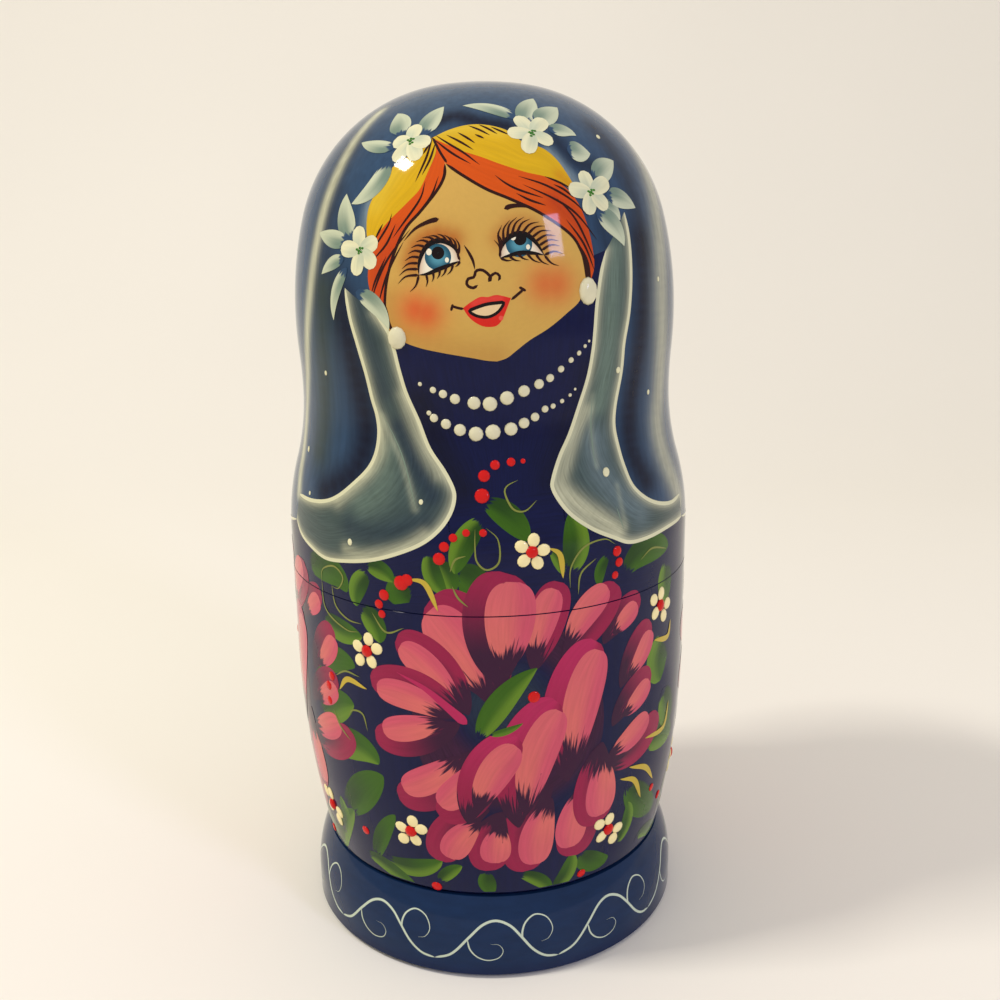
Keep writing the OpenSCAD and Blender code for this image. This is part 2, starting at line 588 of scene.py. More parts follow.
class Taper(Enum):
    """How a line gets thinner towards its ends."""

    BOTH = "both"
    START = "start"
    END = "end"
    NONE = "none"

    def widths(self, along: Array) -> Array:
        """How wide the line is along its length.

        Args:
            along: Shares of the length.

        Returns:
            The share of the full width at each.
        """
        if self is Taper.BOTH:
            share = np.sin(np.pi * np.clip(along, 0.0, 1.0)) ** SWELL
        elif self is Taper.NONE:
            share = np.sqrt(np.clip(np.minimum(along, 1.0 - along) / BLUNT_END, 0.0, 1.0))
        else:
            run = along if self is Taper.END else 1.0 - along
            share = np.sqrt(np.clip(run / ROUND_START, 0.0, 1.0)) * (1.0 - run) ** SWELL
        return np.maximum(share, LEAST_WIDTH)


class Layer(IntEnum):
    """Order in which paint lies over paint."""

    GROUND = 0
    LEAF = 1
    SCROLL = 2
    PETAL = 4
    FLARE = 4
    EDGE = 6
    FOLD = 7
    SKIN = 8
    FEATURE = 10
    EYE = 11
    NOSTRIL = 11
    LOCK = 12
    TEETH = 12
    IRIS = 13
    LINE = 14
    ACCENT = 15
    STROKE = 16
    GLINT = 17
    TOP_PETAL = 18
    WREATH = 18
    LID = 19
    LASH = 21
    BLOSSOM = 23
    HEART = 24
    TENDRIL = 26


@dataclass(frozen=True)
class Load:
    """Paint on a brush: its main colour, others at one side and at the tip, and how soon it runs dry."""

    main: Rgb
    side: Optional[Rgb] = None
    tip: Optional[Rgb] = None
    under: Rgb = HUE.navy
    dry: float = 0.0
    tip_run: Pixel = (0.25, 0.95)
    side_run: Pixel = (-0.2, 0.7)

    def colours(self, along: Array, across: Array) -> tuple[Array, Array]:
        """Colour and dryness over a stroke.

        Args:
            along: Share of the length, from the root to the tip.
            across: Share of the width, from -1 to 1.

        Returns:
            The colours, and a share from 0 where the paint covers to 1 where the ground shows.
        """
        paint = np.broadcast_to(np.array(self.main), along.shape + (3,))
        if self.tip is not None:
            paint = blend(paint, self.tip, ease(*self.tip_run, along))
        if self.side is not None:
            paint = blend(paint, self.side, ease(*self.side_run, across))
        fade = 1.0 - ease(0.0, self.dry, along) if self.dry > 0 else np.zeros(along.shape)
        return paint, fade


@dataclass
class Sheet:
    """One stroke or filled patch: a grid of points with its colours."""

    points: Array
    paint: Array
    under: Array
    brush: Array
    finish: Brush


@dataclass(frozen=True)
class Dab:
    """A raised drop of thick paint: its middle, its three half sizes, the way it points and its colour."""

    middle: Array
    sizes: tuple[float, float, float]
    way: Array
    colour: Rgb


class Painter:
    """Brushwork on one doll, in the millimetres of the outer doll, whatever the doll's own size."""

    steps: tuple[float, ...] = (0.7, 1.1, 1.5, 2.0)
    least_layer: float = 0.004
    layer_part: float = 0.0036
    first_lift: float = 0.015
    bristle_shift: float = 37.0
    stroke_rows: tuple[int, int] = (7, 220)
    most_columns: int = 24
    thin_line: float = 1.2
    fill_rows: tuple[int, int] = (8, 480)
    fill_columns: tuple[int, int] = (4, 120)

    def __init__(self, number: int) -> None:
        """Take up the brush for a doll.

        Args:
            number: Its number in the set.
        """
        self.number = number
        self.step = self.steps[min(number, len(self.steps)) - 1]
        self.layer = max(self.least_layer, self.layer_part * self.step**2)
        self.turn = 0.0
        self.sheets: list[Sheet] = []
        self.dabs: list[Dab] = []

    def turned(self, points: Array) -> Array:
        """Turn points round the axis by the painter's present angle.

        Args:
            points: The points.

        Returns:
            The points after the turn.
        """
        if self.turn == 0.0:
            return points
        c, s = math.cos(math.radians(self.turn)), math.sin(math.radians(self.turn))
        return points @ np.array(((c, s, 0.0), (-s, c, 0.0), (0.0, 0.0, 1.0)))

    def on(self, *pixels: Pixel) -> Array:
        """Points of the surface at pixels of the photograph, turned."""
        return self.turned(landed(tuple(pixels)))

    def mm(self, size: float, pixel: Pixel) -> float:
        """Millimetres of a size in pixels, at a pixel."""
        return size * VIEW.millimetres(landed((pixel,))[0])

    def lay(
        self, points: Array, colours: tuple[Array, Array], load: Load, spans: Array,
        level: int, finish: Brush,
    ) -> None:
        """Put a grid of points on the surface as a sheet of paint.

        Args:
            points: Grid of points near the surface.
            colours: Colour and dryness at each point.
            load: The paint, for what lies under it.
            spans: Distances across and along the stroke, for the bristle marks.
            level: Its layer.
            finish: The kind of brushwork.
        """
        paint, fade = colours
        points = TURNING.settle(points, self.first_lift + self.layer * level)
        face = np.cross(points[1:, :-1] - points[:-1, :-1], points[:-1, 1:] - points[:-1, :-1])
        if (face * points[:-1, :-1] * (1.0, 1.0, 0.3)).sum() > 0:
            flip = np.s_[:, ::-1]
            points, paint, fade, spans = points[flip], paint[flip], fade[flip], spans[flip]
        shift = self.bristle_shift * len(self.sheets)
        brush = np.dstack([spans[..., 0] + shift, spans[..., 1], fade])
        under = np.broadcast_to(np.array(load.under), paint.shape)
        self.sheets.append(Sheet(points, np.asarray(paint), under, brush, finish))

    def ribbon(
        self, path: Array, width: float, shape: Shade, load: Load, level: int, finish: Brush,
    ) -> None:
        """Lay a stroke along a path.

        Args:
            path: Points that the stroke runs through.
            width: Its full width.
            shape: Share of the width at each share of the length.
            load: The paint.
            level: Its layer.
            finish: The kind of brushwork.
        """
        length = length_of(path)
        rows = int(np.clip(math.ceil(1.2 * length / self.step), *self.stroke_rows))
        least = 2 if width < self.thin_line else 4
        columns = int(np.clip(math.ceil(width / self.step) + 1, least, self.most_columns))
        middle = TURNING.settle(smooth(path, rows))
        ways = np.gradient(middle, axis=0)
        ways /= np.maximum(np.linalg.norm(ways, axis=1), TINY)[:, None]
        sideways = np.cross(ways, TURNING.normals(middle))
        along, across = np.meshgrid(np.linspace(0, 1, rows), np.linspace(-1, 1, columns), indexing="ij")
        half = 0.5 * width * shape(along[:, 0])
        points = middle[:, None] + sideways[:, None] * (half[:, None] * across)[..., None]
        spans = np.dstack([across * width / 2.0, along * length])
        self.lay(points, load.colours(along, across), load, spans, level, finish)

    def line(
        self, pixels: Sequence[Pixel], width: float, colour: Rgb, level: int, taper: Taper = Taper.BOTH,
        upto: int = 10,
    ) -> None:
        """Draw a line with a liner brush.

        Args:
            pixels: What it runs through.
            width: Its full width in pixels.
            colour: Its colour.
            level: Its layer.
            taper: How it gets thinner.
            upto: The last doll that has it.
        """
        if self.number <= upto:
            wide = self.mm(width, pixels[len(pixels) // 2])
            self.ribbon(self.on(*pixels), wide, taper.widths, Load(colour), level, Brush.LINER)

    def petal(
        self, root: Pixel, tip: Pixel, width: float, load: Load, level: int, bend: float = 0.0,
        powers: tuple[float, float] = (0.85, 0.45), upto: int = 10,
    ) -> None:
        """Press a petal or a leaf with a round brush.

        Args:
            root: Pixel where it starts.
            tip: Pixel where it ends.
            width: Its full width in pixels.
            load: The paint.
            level: Its layer.
            bend: How far its middle swings to the right, in pixels.
            powers: How slowly it widens from its root and narrows to its tip.
            upto: The last doll that has it.
        """
        if self.number > upto:
            return
        first, last = np.array(root, float), np.array(tip, float)
        way = last - first
        swing = np.array((-way[1], way[0])) / max(float(np.hypot(*way)), 1e-6) * bend
        share = np.linspace(0.0, 1.0, 9)[:, None]
        run = first + way * share + 4.0 * share * (1.0 - share) * swing
        wide = self.mm(width, tuple(run[4]))
        low, high = powers
        peak = low / (low + high)

        def shape(along: Array) -> Array:
            """Share of the width at each share of the length."""
            spot = np.clip(along, 0.004, 0.996)
            return spot**low * (1.0 - spot) ** high / (peak**low * (1.0 - peak) ** high)

        path = self.on(*[tuple(pixel) for pixel in run])
        self.ribbon(path, wide, shape, load, level, Brush.PETAL)

    def fill(
        self, first: Array, second: Array, shade: Shade, level: int, finish: Brush = Brush.WASH,
        rows: int = 0,
    ) -> None:
        """Fill the space between two edges.

        Args:
            first: Points along one edge.
            second: Points along the other, in the same order.
            shade: Colours at points.
            level: Its layer.
            finish: The kind of brushwork.
            rows: Number of rows, or 0 to follow the edges' length.
        """
        length = max(length_of(first), length_of(second))
        rows = rows or int(np.clip(math.ceil(1.1 * length / self.step), *self.fill_rows))
        first, second = smooth(first, rows), smooth(second, rows)
        reach = float(np.linalg.norm(first - second, axis=1).max())
        columns = int(np.clip(math.ceil(reach / self.step) + 1, *self.fill_columns))
        along, across = np.meshgrid(np.linspace(0, 1, rows), np.linspace(0, 1, columns), indexing="ij")
        points = TURNING.settle(first[:, None] + (second - first)[:, None] * across[..., None])
        spans = np.dstack([across * reach, along * length])
        load = Load(HUE.navy)
        self.lay(points, (shade(points), np.zeros(along.shape)), load, spans, level, finish)

    def disc(
        self, middle: Pixel, radii: Pixel, load: Load, level: int, lid: Sequence[Pixel] = (),
        upto: int = 10,
    ) -> None:
        """Paint a flat round spot, cut off along a lid where it has one.

        Args:
            middle: Pixel of its middle.
            radii: Half its width and half its height, in pixels.
            load: The paint.
            level: Its layer.
            lid: Pixels along an edge that it doesn't rise above.
            upto: The last doll that has it.
        """
        if self.number > upto:
            return
        count = 13 if self.number < 3 else 8
        around, outward = np.linspace(0, FULL_TURN, 3 * count), np.linspace(0.02, 1.0, count)
        turn, reach = np.meshgrid(around, outward, indexing="ij")
        spots = np.dstack([
            middle[0] + radii[0] * reach * np.cos(turn),
            middle[1] + radii[1] * reach * np.sin(turn),
        ])
        if len(lid):
            edge = np.array(sorted(lid), float)
            spots[..., 1] = np.maximum(spots[..., 1], np.interp(spots[..., 0], edge[:, 0], edge[:, 1]))
        points = self.turned(VIEW.land(TURNING, spots))
        colours = load.colours(reach, np.zeros(reach.shape))
        self.lay(points, colours, load, np.dstack([reach, turn]), level, Brush.LINER)

    def dab(
        self, middle: Pixel, radii: Pixel, colour: Rgb, towards: Optional[Pixel] = None,
        height: float = 0.24, upto: int = 10,
    ) -> None:
        """Set a raised drop of thick paint.

        Args:
            middle: Pixel of its middle.
            radii: Half its length and half its width, in pixels.
            colour: Its colour.
            towards: Pixel that its length points at.
            height: Its height as a share of half its width.
            upto: The last doll that has it.
        """
        if self.number > upto:
            return
        spot = self.on(middle)[0]
        aim = self.on(towards or (middle[0] + 4.0, middle[1]))[0]
        long, wide = (self.mm(size, middle) for size in radii)
        self.dabs.append(Dab(spot, (long, wide, height * wide), aim - spot, colour))


@dataclass(frozen=True)
class Hood:
    """Ground of the upper half: the veil over the head, with painted shade and pale bands laid by soft
    passes.
    """

    folds: int = 7
    fold_radius: float = 3.6
    fold_start: float = 100.0
    fold_reach: float = 160.0
    fold_lean: float = 0.06
    # Painted shade: the dark passes darken the veil along the wreath, round the face and beside the flares'
    # inner edges. The pale passes lighten the crown a little and lay pale bands along the hair's edge and
    # along the veil's outline on both sides.
    front: tuple[Pass, ...] = (
        (((440, 96), (520, 92), (580, 112)), 12.0, HUE.pale_slate, 0.12),
        (((352, 150), (336, 190), (326, 240), (326, 290)), 6.0, HUE.dark_slate, 0.75),
        (((340, 300), (350, 350), (362, 400), (366, 440), (352, 474), (326, 490)), 5.2, HUE.deep_navy, 0.95),
        (((322, 290), (322, 340), (324, 400), (320, 450)), 5.0, HUE.teal_slate, 0.85),
        (((372, 140), (352, 176)), 3.2, HUE.slate, 0.8),
        (((436, 122), (456, 116), (480, 122), (506, 126)), 2.6, HUE.deep_navy, 0.95),
        (((556, 140), (574, 160), (596, 168)), 2.6, HUE.deep_navy, 0.7),
        (((594, 128), (618, 160), (634, 200), (642, 250)), 3.6, HUE.dark_slate, 0.85),
        (((604, 230), (612, 262), (614, 300)), 3.0, HUE.dark_slate, 0.7),
        (((640, 240), (643, 300), (638, 360), (630, 410), (632, 450), (646, 480)), 4.4, HUE.deep_navy, 0.95),
        (((372, 196), (366, 226)), 1.6, HUE.pale_slate, 0.8),
        (((548, 152), (566, 172), (578, 186)), 1.6, HUE.pale_slate, 0.8),
        (((380, 112), (354, 142), (337, 174), (325, 206), (316, 246), (309, 300), (307, 350), (307, 410),
          (303, 456), (299, 492)), 1.9, HUE.veil_edge, 0.75),
        (((606, 112), (632, 142), (650, 182), (659, 230), (662, 300), (660, 380), (658, 426), (668, 466),
          (679, 496)), 4.6, HUE.veil_glow, 0.85),
    )

    def back(self) -> list[Spray]:
        """Folds of the veil round the sides and the back, which the photograph doesn't show.

        Returns:
            A dark pass and a pale one for each fold.
        """
        rows = []
        for fold in range(self.folds):
            turn = self.fold_start + self.fold_reach * (fold + 0.5) / self.folds
            lean = (turn - 180.0) * self.fold_lean
            dark = TURNING.at(
                (turn - 9, 116), (turn - 8 - lean, 150), (turn - 6 - lean, 184), (turn - 2, 206),
            )
            pale = TURNING.at((turn + 3, 114), (turn + 2 - lean, 146), (turn + 1 - lean, 180), (turn, 204))
            rows.append(Spray(dark, self.fold_radius * 1.1, HUE.dark_slate, 0.7))
            rows.append(Spray(pale, self.fold_radius, HUE.pale_slate, 0.55))
        return rows

    def shade(self) -> Shade:
        """Colours of the veil over the upper half."""
        return airbrush(HUE.slate, self.back() + sprays(*self.front))


@dataclass(frozen=True)
class Motif:
    """Something that a painter paints on a doll."""

    by: Painter


@dataclass(frozen=True)
class Veil(Motif):
    """The veil's two flares, its hem and the dress between them."""

    line_width: float = 4.0
    hem_z: float = 114.0
    hem_swing: float = 3.0
    hem_scallops: int = 5
    hem_join: float = 0.12
    hem_points: int = 61
    hem_pixel: Pixel = (490, 500)
    fold_width: float = 1.2
    seam_overlap: float = 0.5

    left_inner: Run = (
        (345, 288), (350, 318), (357, 343), (365, 370), (372, 398), (377, 415), (379, 433), (376, 453),
        (368, 469), (353, 484), (338, 496), (325, 501), (311, 500), (300, 494),
    )
    left_outer: Run = (
        (374, 312), (388, 332), (394, 350), (399, 370), (406, 393), (418, 420), (429, 448), (444, 471),
        (453, 489), (454, 501), (449, 516), (438, 531), (421, 544), (396, 554), (371, 560), (346, 561),
        (326, 558), (312, 547), (302, 534), (297, 519),
    )
    right_inner: Run = (
        (624, 212), (629, 240), (631, 275), (629, 312), (624, 343), (621, 373), (615, 406), (614, 426),
        (618, 446), (624, 466), (633, 486), (646, 498), (659, 503), (671, 502), (679, 494),
    )
    right_outer: Run = (
        (606, 250), (601, 274), (597, 304), (595, 330), (593, 350), (588, 377), (580, 403), (570, 433),
        (560, 456), (553, 479), (553, 489), (561, 503), (573, 516), (593, 529), (613, 537), (629, 542),
        (646, 538), (667, 527), (681, 516),
    )
    left_lobe: int = 9
    right_lobe: int = 10
    left_folds: tuple[Pass, ...] = (
        (((356, 300), (372, 350), (384, 392)), 2.8, HUE.dark_slate, 0.45),
        (((388, 450), (380, 490), (362, 504)), 4.0, HUE.leaf_grey, 0.4),
        (((399, 428), (416, 466), (432, 496)), 3.0, HUE.dark_slate, 0.7),
        (((350, 526), (378, 534), (424, 522)), 3.2, HUE.dark_slate, 0.5),
        (((404, 396), (414, 424), (427, 453), (440, 474)), 1.9, HUE.veil_edge, 0.35),
        (((379, 424), (381, 446), (372, 466), (357, 483), (338, 500)), 2.2, HUE.veil_edge, 0.35),
        (((346, 549), (364, 555), (402, 548), (424, 535)), 1.6, HUE.veil_edge, 0.35),
        (((382, 416), (391, 437), (402, 462), (411, 492), (415, 509)), 0.9, HUE.leaf_pale, 0.3),
    )
    right_folds: tuple[Pass, ...] = (
        (((614, 250), (612, 310), (604, 380), (598, 404)), 3.0, HUE.leaf_grey, 0.55),
        (((594, 440), (600, 470), (616, 492), (640, 512)), 4.2, HUE.pale_slate, 0.4),
        (((586, 410), (577, 430), (567, 462), (560, 484)), 1.8, HUE.veil_edge, 0.45),
        (((566, 495), (584, 509), (602, 520), (618, 531)), 2.5, HUE.veil_edge, 0.65),
        (((617, 486), (622, 508), (626, 527)), 0.8, HUE.leaf_pale, 0.2),
        (((592, 396), (591, 430), (597, 466)), 0.8, HUE.leaf_pale, 0.2),
    )
    glows: tuple[tuple[float, Rgb, float], ...] = ((2.0, HUE.veil_glow, 0.3), (1.1, HUE.veil_edge, 0.5))
    fold_lines: tuple[Run, ...] = (
        ((383, 415), (394, 436), (403, 458), (412, 492), (416, 509)), ((592, 396), (591, 430), (596, 470)),
        ((616, 506), (624, 530)),
    )
    dress_shadows: tuple[Pass, ...] = (
        (((420, 400), (440, 450), (462, 490)), 4.0, HUE.deep_navy, 0.8),
        (((588, 370), (566, 430), (550, 480)), 4.0, HUE.deep_navy, 0.6),
    )
    dots: tuple[tuple[Pixel, float], ...] = (
        ((326, 373), 2.6), ((309, 449), 3.0), ((421, 502), 2.8), ((350, 542), 3.6), ((310, 493), 2.2),
        ((618, 370), 3.4), ((648, 392), 2.8), ((606, 472), 5.0), ((598, 137), 3.0), ((658, 279), 2.6),
    )
    back_dots: Run = (
        (110, 150), (128, 178), (150, 134), (168, 164), (186, 140), (204, 182), (222, 152), (244, 170),
    )
    back_dot_size: tuple[float, float, float] = (0.7, 0.6, 0.25)

    def hem(self) -> Array:
        """Hem of the veil round the back, from the right flare to the left one.

        Returns:
            Points along it.
        """
        first, last = landed(self.right_outer)[-1], landed(self.left_outer)[-1]
        start, end = (math.degrees(math.atan2(spot[0], -spot[1])) % 360.0 for spot in (first, last))
        share = np.linspace(0.0, 1.0, self.hem_points)
        level = self.hem_z - np.abs(np.sin(np.pi * self.hem_scallops * share)) * self.hem_swing
        rise = (first[2] - level[0]) * ease(self.hem_join, 0.0, share)
        rise += (last[2] - level[-1]) * ease(1.0 - self.hem_join, 1.0, share)
        return TURNING.at(*zip(start + (end - start) * share, level + rise))

    def paint_flare(self, inner: Run, outer: Run, folds: Sequence[Pass]) -> None:
        """Fill a flare, paler along both edges, and draw the edges.

        Args:
            inner: Its inner edge.
            outer: Its outer edge.
            folds: Passes that only this flare has.
        """
        glows = [(edge, *glow) for glow in self.glows for edge in (inner, outer)]
        shade = airbrush(HUE.flare_slate, sprays(*folds, *glows))
        self.by.fill(landed(inner), landed(outer), shade, Layer.FLARE)
        for edge in (inner, outer):
            self.by.line(edge, self.line_width, HUE.veil_edge, Layer.EDGE, Taper.NONE)

    def paint_dress(self) -> None:
        """Fill the dress between the flares, and the band between the hem and the seam."""
        shade = airbrush(HUE.navy, sprays(*self.dress_shadows))
        left, right = landed(self.left_outer), landed(self.right_outer)
        self.by.fill(left[: self.left_lobe + 1], right[: self.right_lobe + 1], shade, Layer.GROUND)
        top = np.vstack([left[self.left_lobe :][::-1], right[self.right_lobe :], self.hem()[1:-1], left[-1:]])
        turns = np.degrees(np.unwrap(np.arctan2(top[:, 0], -top[:, 1])))
        bottom = TURNING.at(*((turn, TURNING.seam_z - self.seam_overlap) for turn in turns))
        self.by.fill(bottom, top, shade, Layer.GROUND, rows=int(360 / self.by.step))

    def paint_dots(self) -> None:
        """Set the small drops on the veil."""
        for spot, size in self.dots:
            self.by.dab(spot, (size, size * 0.85), HUE.cream, (spot[0], spot[1] - 4), upto=7)
        for spot in TURNING.at(*self.back_dots):
            self.by.dabs.append(Dab(spot, self.back_dot_size, np.array((0.0, 0.0, 1.0)), HUE.cream))

    def paint(self) -> None:
        """Paint the dress, the flares with the lines of their folds, the hem and the dots."""
        self.paint_dress()
        self.paint_flare(self.left_inner, self.left_outer, self.left_folds)
        self.paint_flare(self.right_inner, self.right_outer, self.right_folds)
        for path in self.fold_lines:
            self.by.line(path, self.fold_width, HUE.leaf_grey, Layer.FOLD, upto=4)
        wide = self.by.mm(self.line_width, self.hem_pixel)
        self.by.ribbon(self.hem(), wide, Taper.NONE.widths, Load(HUE.veil_edge), Layer.EDGE, Brush.LINER)
        self.paint_dots()


@dataclass(frozen=True)
class Eye:
    """One painted eye, all in pixels of the photograph."""

    upper: Run
    lower: Run
    iris: Pixel
    pupil: Pixel
    glint: Pixel
    lash_tips: Run
    low_tips: Run
    brow: Run
    iris_r: float = 13.2
    pupil_r: float = 6.4
    glint_radii: Pixel = (2.8, 3.4)
    spark: Pixel = (9, 3)
    spark_radii: Pixel = (2.0, 2.6)
    upper_line: float = 5.4
    lower_line: float = 4.4
    brow_line: float = 5.4
    lash_line: float = 3.1
    curls: Pixel = (0.16, -0.12)

    def paint(self, by: Painter) -> None:
        """Paint the white, the iris, the lids, the lashes and the brow.

        Args:
            by: The painter of the doll.
        """
        # Painted shade: the white darkens along the upper lid, in the colour of the eye shadow.
        white = airbrush(HUE.eye_white, sprays((self.upper, 1.1, HUE.eye_shadow, 0.5)))
        by.fill(landed(self.upper), landed(self.lower), white, Layer.EYE, Brush.SKIN)
        iris = Load(HUE.iris, tip=HUE.iris_dark)
        by.disc(self.iris, (self.iris_r, self.iris_r), iris, Layer.IRIS, self.upper)
        by.disc(self.pupil, (self.pupil_r, self.pupil_r), Load(HUE.ink), Layer.ACCENT, self.upper)
        light = Load(HUE.eye_white)
        by.disc(self.glint, self.glint_radii, light, Layer.GLINT, upto=7)
        spark = (self.iris[0] + self.spark[0], self.iris[1] + self.spark[1])
        by.disc(spark, self.spark_radii, light, Layer.GLINT, upto=4)
        by.line(self.upper, self.upper_line, HUE.ink, Layer.LID)
        by.line(self.lower, self.lower_line, HUE.ink, Layer.LID)
        self.paint_lashes(by)
        by.line(self.brow, self.brow_line, HUE.umber, Layer.LID, Taper.END)

    def paint_lashes(self, by: Painter) -> None:
        """Draw the lashes from the lids to their tips, each with a curl.

        Args:
            by: The painter of the doll.
        """
        for edge, tips, curl in zip((self.upper, self.lower), (self.lash_tips, self.low_tips), self.curls):
            roots = smooth(np.array(edge, float), len(tips))
            if abs(roots[0] - tips[0]).sum() > abs(roots[0] - tips[-1]).sum():
                roots = roots[::-1]
            for root, tip in zip(roots, np.array(tips, float)):
                way = tip - root
                bow = root + way * 0.55 + np.array((way[1], -way[0])) * curl * np.sign(way[0] + 1e-3)
                path = (tuple(root), tuple(bow), tuple(tip))
                by.line(path, self.lash_line, HUE.umber, Layer.LASH, Taper.END, upto=5)


@dataclass(frozen=True)
class Face(Motif):
    """The doll's painted face."""

    left_edge: Run = (
        (446, 160), (431, 188), (412, 211), (398, 235), (387, 262), (381, 292), (383, 318), (390, 331),
        (402, 341), (420, 348), (443, 353), (472, 358), (486, 360.6), (497, 361.4),
    )
    right_edge: Run = (
        (446, 160), (480, 182), (520, 200), (556, 222), (576, 243), (586, 266), (586, 280), (580, 300),
        (567, 313), (549, 328), (530, 340), (516, 351), (507, 358), (497, 361.4),
    )

    left_eye: Eye = Eye(
        upper=((460, 261), (455, 248), (443, 241), (431, 243), (423, 252), (419, 264), (419, 275)),
        lower=((460, 261), (450, 265), (437, 270), (427, 274), (419, 275)),
        iris=(438, 257), pupil=(438, 253), glint=(429, 252),
        lash_tips=(
            (398, 284), (399, 276), (402, 269), (405, 261), (408, 254), (411, 248), (416, 242), (422, 238),
            (429, 236), (437, 234), (444, 235), (450, 237), (455, 238), (460, 245),
        ),
        low_tips=((410, 292), (426, 287), (432, 282), (437, 279), (441, 277), (447, 275), (455, 267)),
        brow=((439, 219), (428, 222), (415, 229), (404, 241)),
    )
    right_eye: Eye = Eye(
        upper=((500, 258), (501, 248), (507, 239), (516, 234), (527, 235), (537, 244), (544, 255)),
        lower=((500, 258), (508, 256), (519, 253), (532, 253), (544, 255)),
        iris=(519, 244), pupil=(520, 239), glint=(513, 237),
        lash_tips=(
            (494, 240), (497, 233), (502, 225), (510, 220), (517, 217), (524, 217), (530, 219), (539, 222),
            (545, 226), (551, 231), (556, 236), (559, 241), (560, 246), (563, 254),
        ),
        low_tips=((559, 266), (549, 265), (541, 263), (529, 260), (521, 261), (513, 260)),
        brow=((504, 209), (512, 206), (524, 206), (534, 209), (541, 214)),
    )
    shading: tuple[Pass, ...] = (
        (((390, 300), (398, 332), (450, 352), (494, 358)), 4.0, HUE.skin_shade, 0.55),
        (((412, 262), (418, 246), (434, 236), (452, 240)), 2.8, HUE.eye_shadow, 0.9),
        (((500, 238), (512, 226), (530, 226), (546, 240)), 2.4, HUE.eye_shadow, 0.6),
        (((416, 310), (426, 313)), 4.3, HUE.blush, 0.92),
        (((546, 284), (556, 284)), 4.6, HUE.blush, 0.76),
    )

    def paint_nose(self) -> None:
        """Draw the nose with a liner."""
        bridge = ((464, 245), (469, 253), (473, 261), (475, 270))
        wing = (
            (478, 285), (473, 288), (467, 285), (468, 279), (474, 277), (476, 271), (482, 270), (488, 274),
            (491, 279), (488, 282),
        )
        nostril = ((488, 281), (491, 276), (496, 273), (500, 277), (498, 281))
        self.by.line(bridge, 3.0, HUE.umber, Layer.FEATURE, upto=7)
        self.by.line(wing, 3.0, HUE.umber, Layer.FEATURE, Taper.NONE)
        self.by.line(nostril, 2.8, HUE.umber, Layer.NOSTRIL, Taper.NONE, upto=6)

    def paint_mouth(self) -> None:
        """Paint the lips, the open mouth and the smile."""
        upper = ((463, 308), (471, 302), (480, 297), (488, 297), (497, 295), (511, 298))
        lower = ((463, 308), (468, 316), (476, 323), (487, 327), (500, 323), (511, 298))
        top = ((468, 311), (478, 307), (488, 304), (505, 302))
        bottom = ((468, 311), (477, 316), (488, 317), (498, 312), (505, 302))
        lips = airbrush(HUE.lips, sprays((((474, 303), (486, 299), (500, 298)), 0.8, HUE.lips_light, 0.5)))
        self.by.fill(landed(upper), landed(lower), lips, Layer.FEATURE, Brush.SKIN)
        self.by.fill(landed(top), landed(bottom), airbrush(HUE.teeth, []), Layer.TEETH, Brush.SKIN)
        for path, width, colour, level, upto in (
            (top, 3.4, HUE.ink, Layer.LINE, 10),
            (bottom, 3.0, HUE.ink, Layer.LINE, 10),
            (((464, 309), (458, 308), (452, 306)), 2.6, HUE.umber, Layer.LINE, 10),
            (((453, 304), (451, 311)), 2.6, HUE.umber, Layer.ACCENT, 6),
            (((511, 300), (517, 295), (524, 289)), 2.8, HUE.umber, Layer.LINE, 10),
            (((519, 287), (526, 291)), 2.8, HUE.umber, Layer.ACCENT, 6),
        ):
            self.by.line(path, width, colour, level, Taper.NONE, upto)
        self.by.disc((501, 318), (2.4, 2.4), Load(HUE.lips_light), Layer.LINE, upto=4)

    def paint(self) -> None:
        """Paint the skin, with blush on the cheeks and shadow over the eyes, and then the features."""
        shade = airbrush(HUE.skin, sprays(*self.shading))
        self.by.fill(landed(self.left_edge), landed(self.right_edge), shade, Layer.SKIN, Brush.SKIN)
        self.left_eye.paint(self.by)
        self.right_eye.paint(self.by)
        self.paint_nose()
        self.paint_mouth()


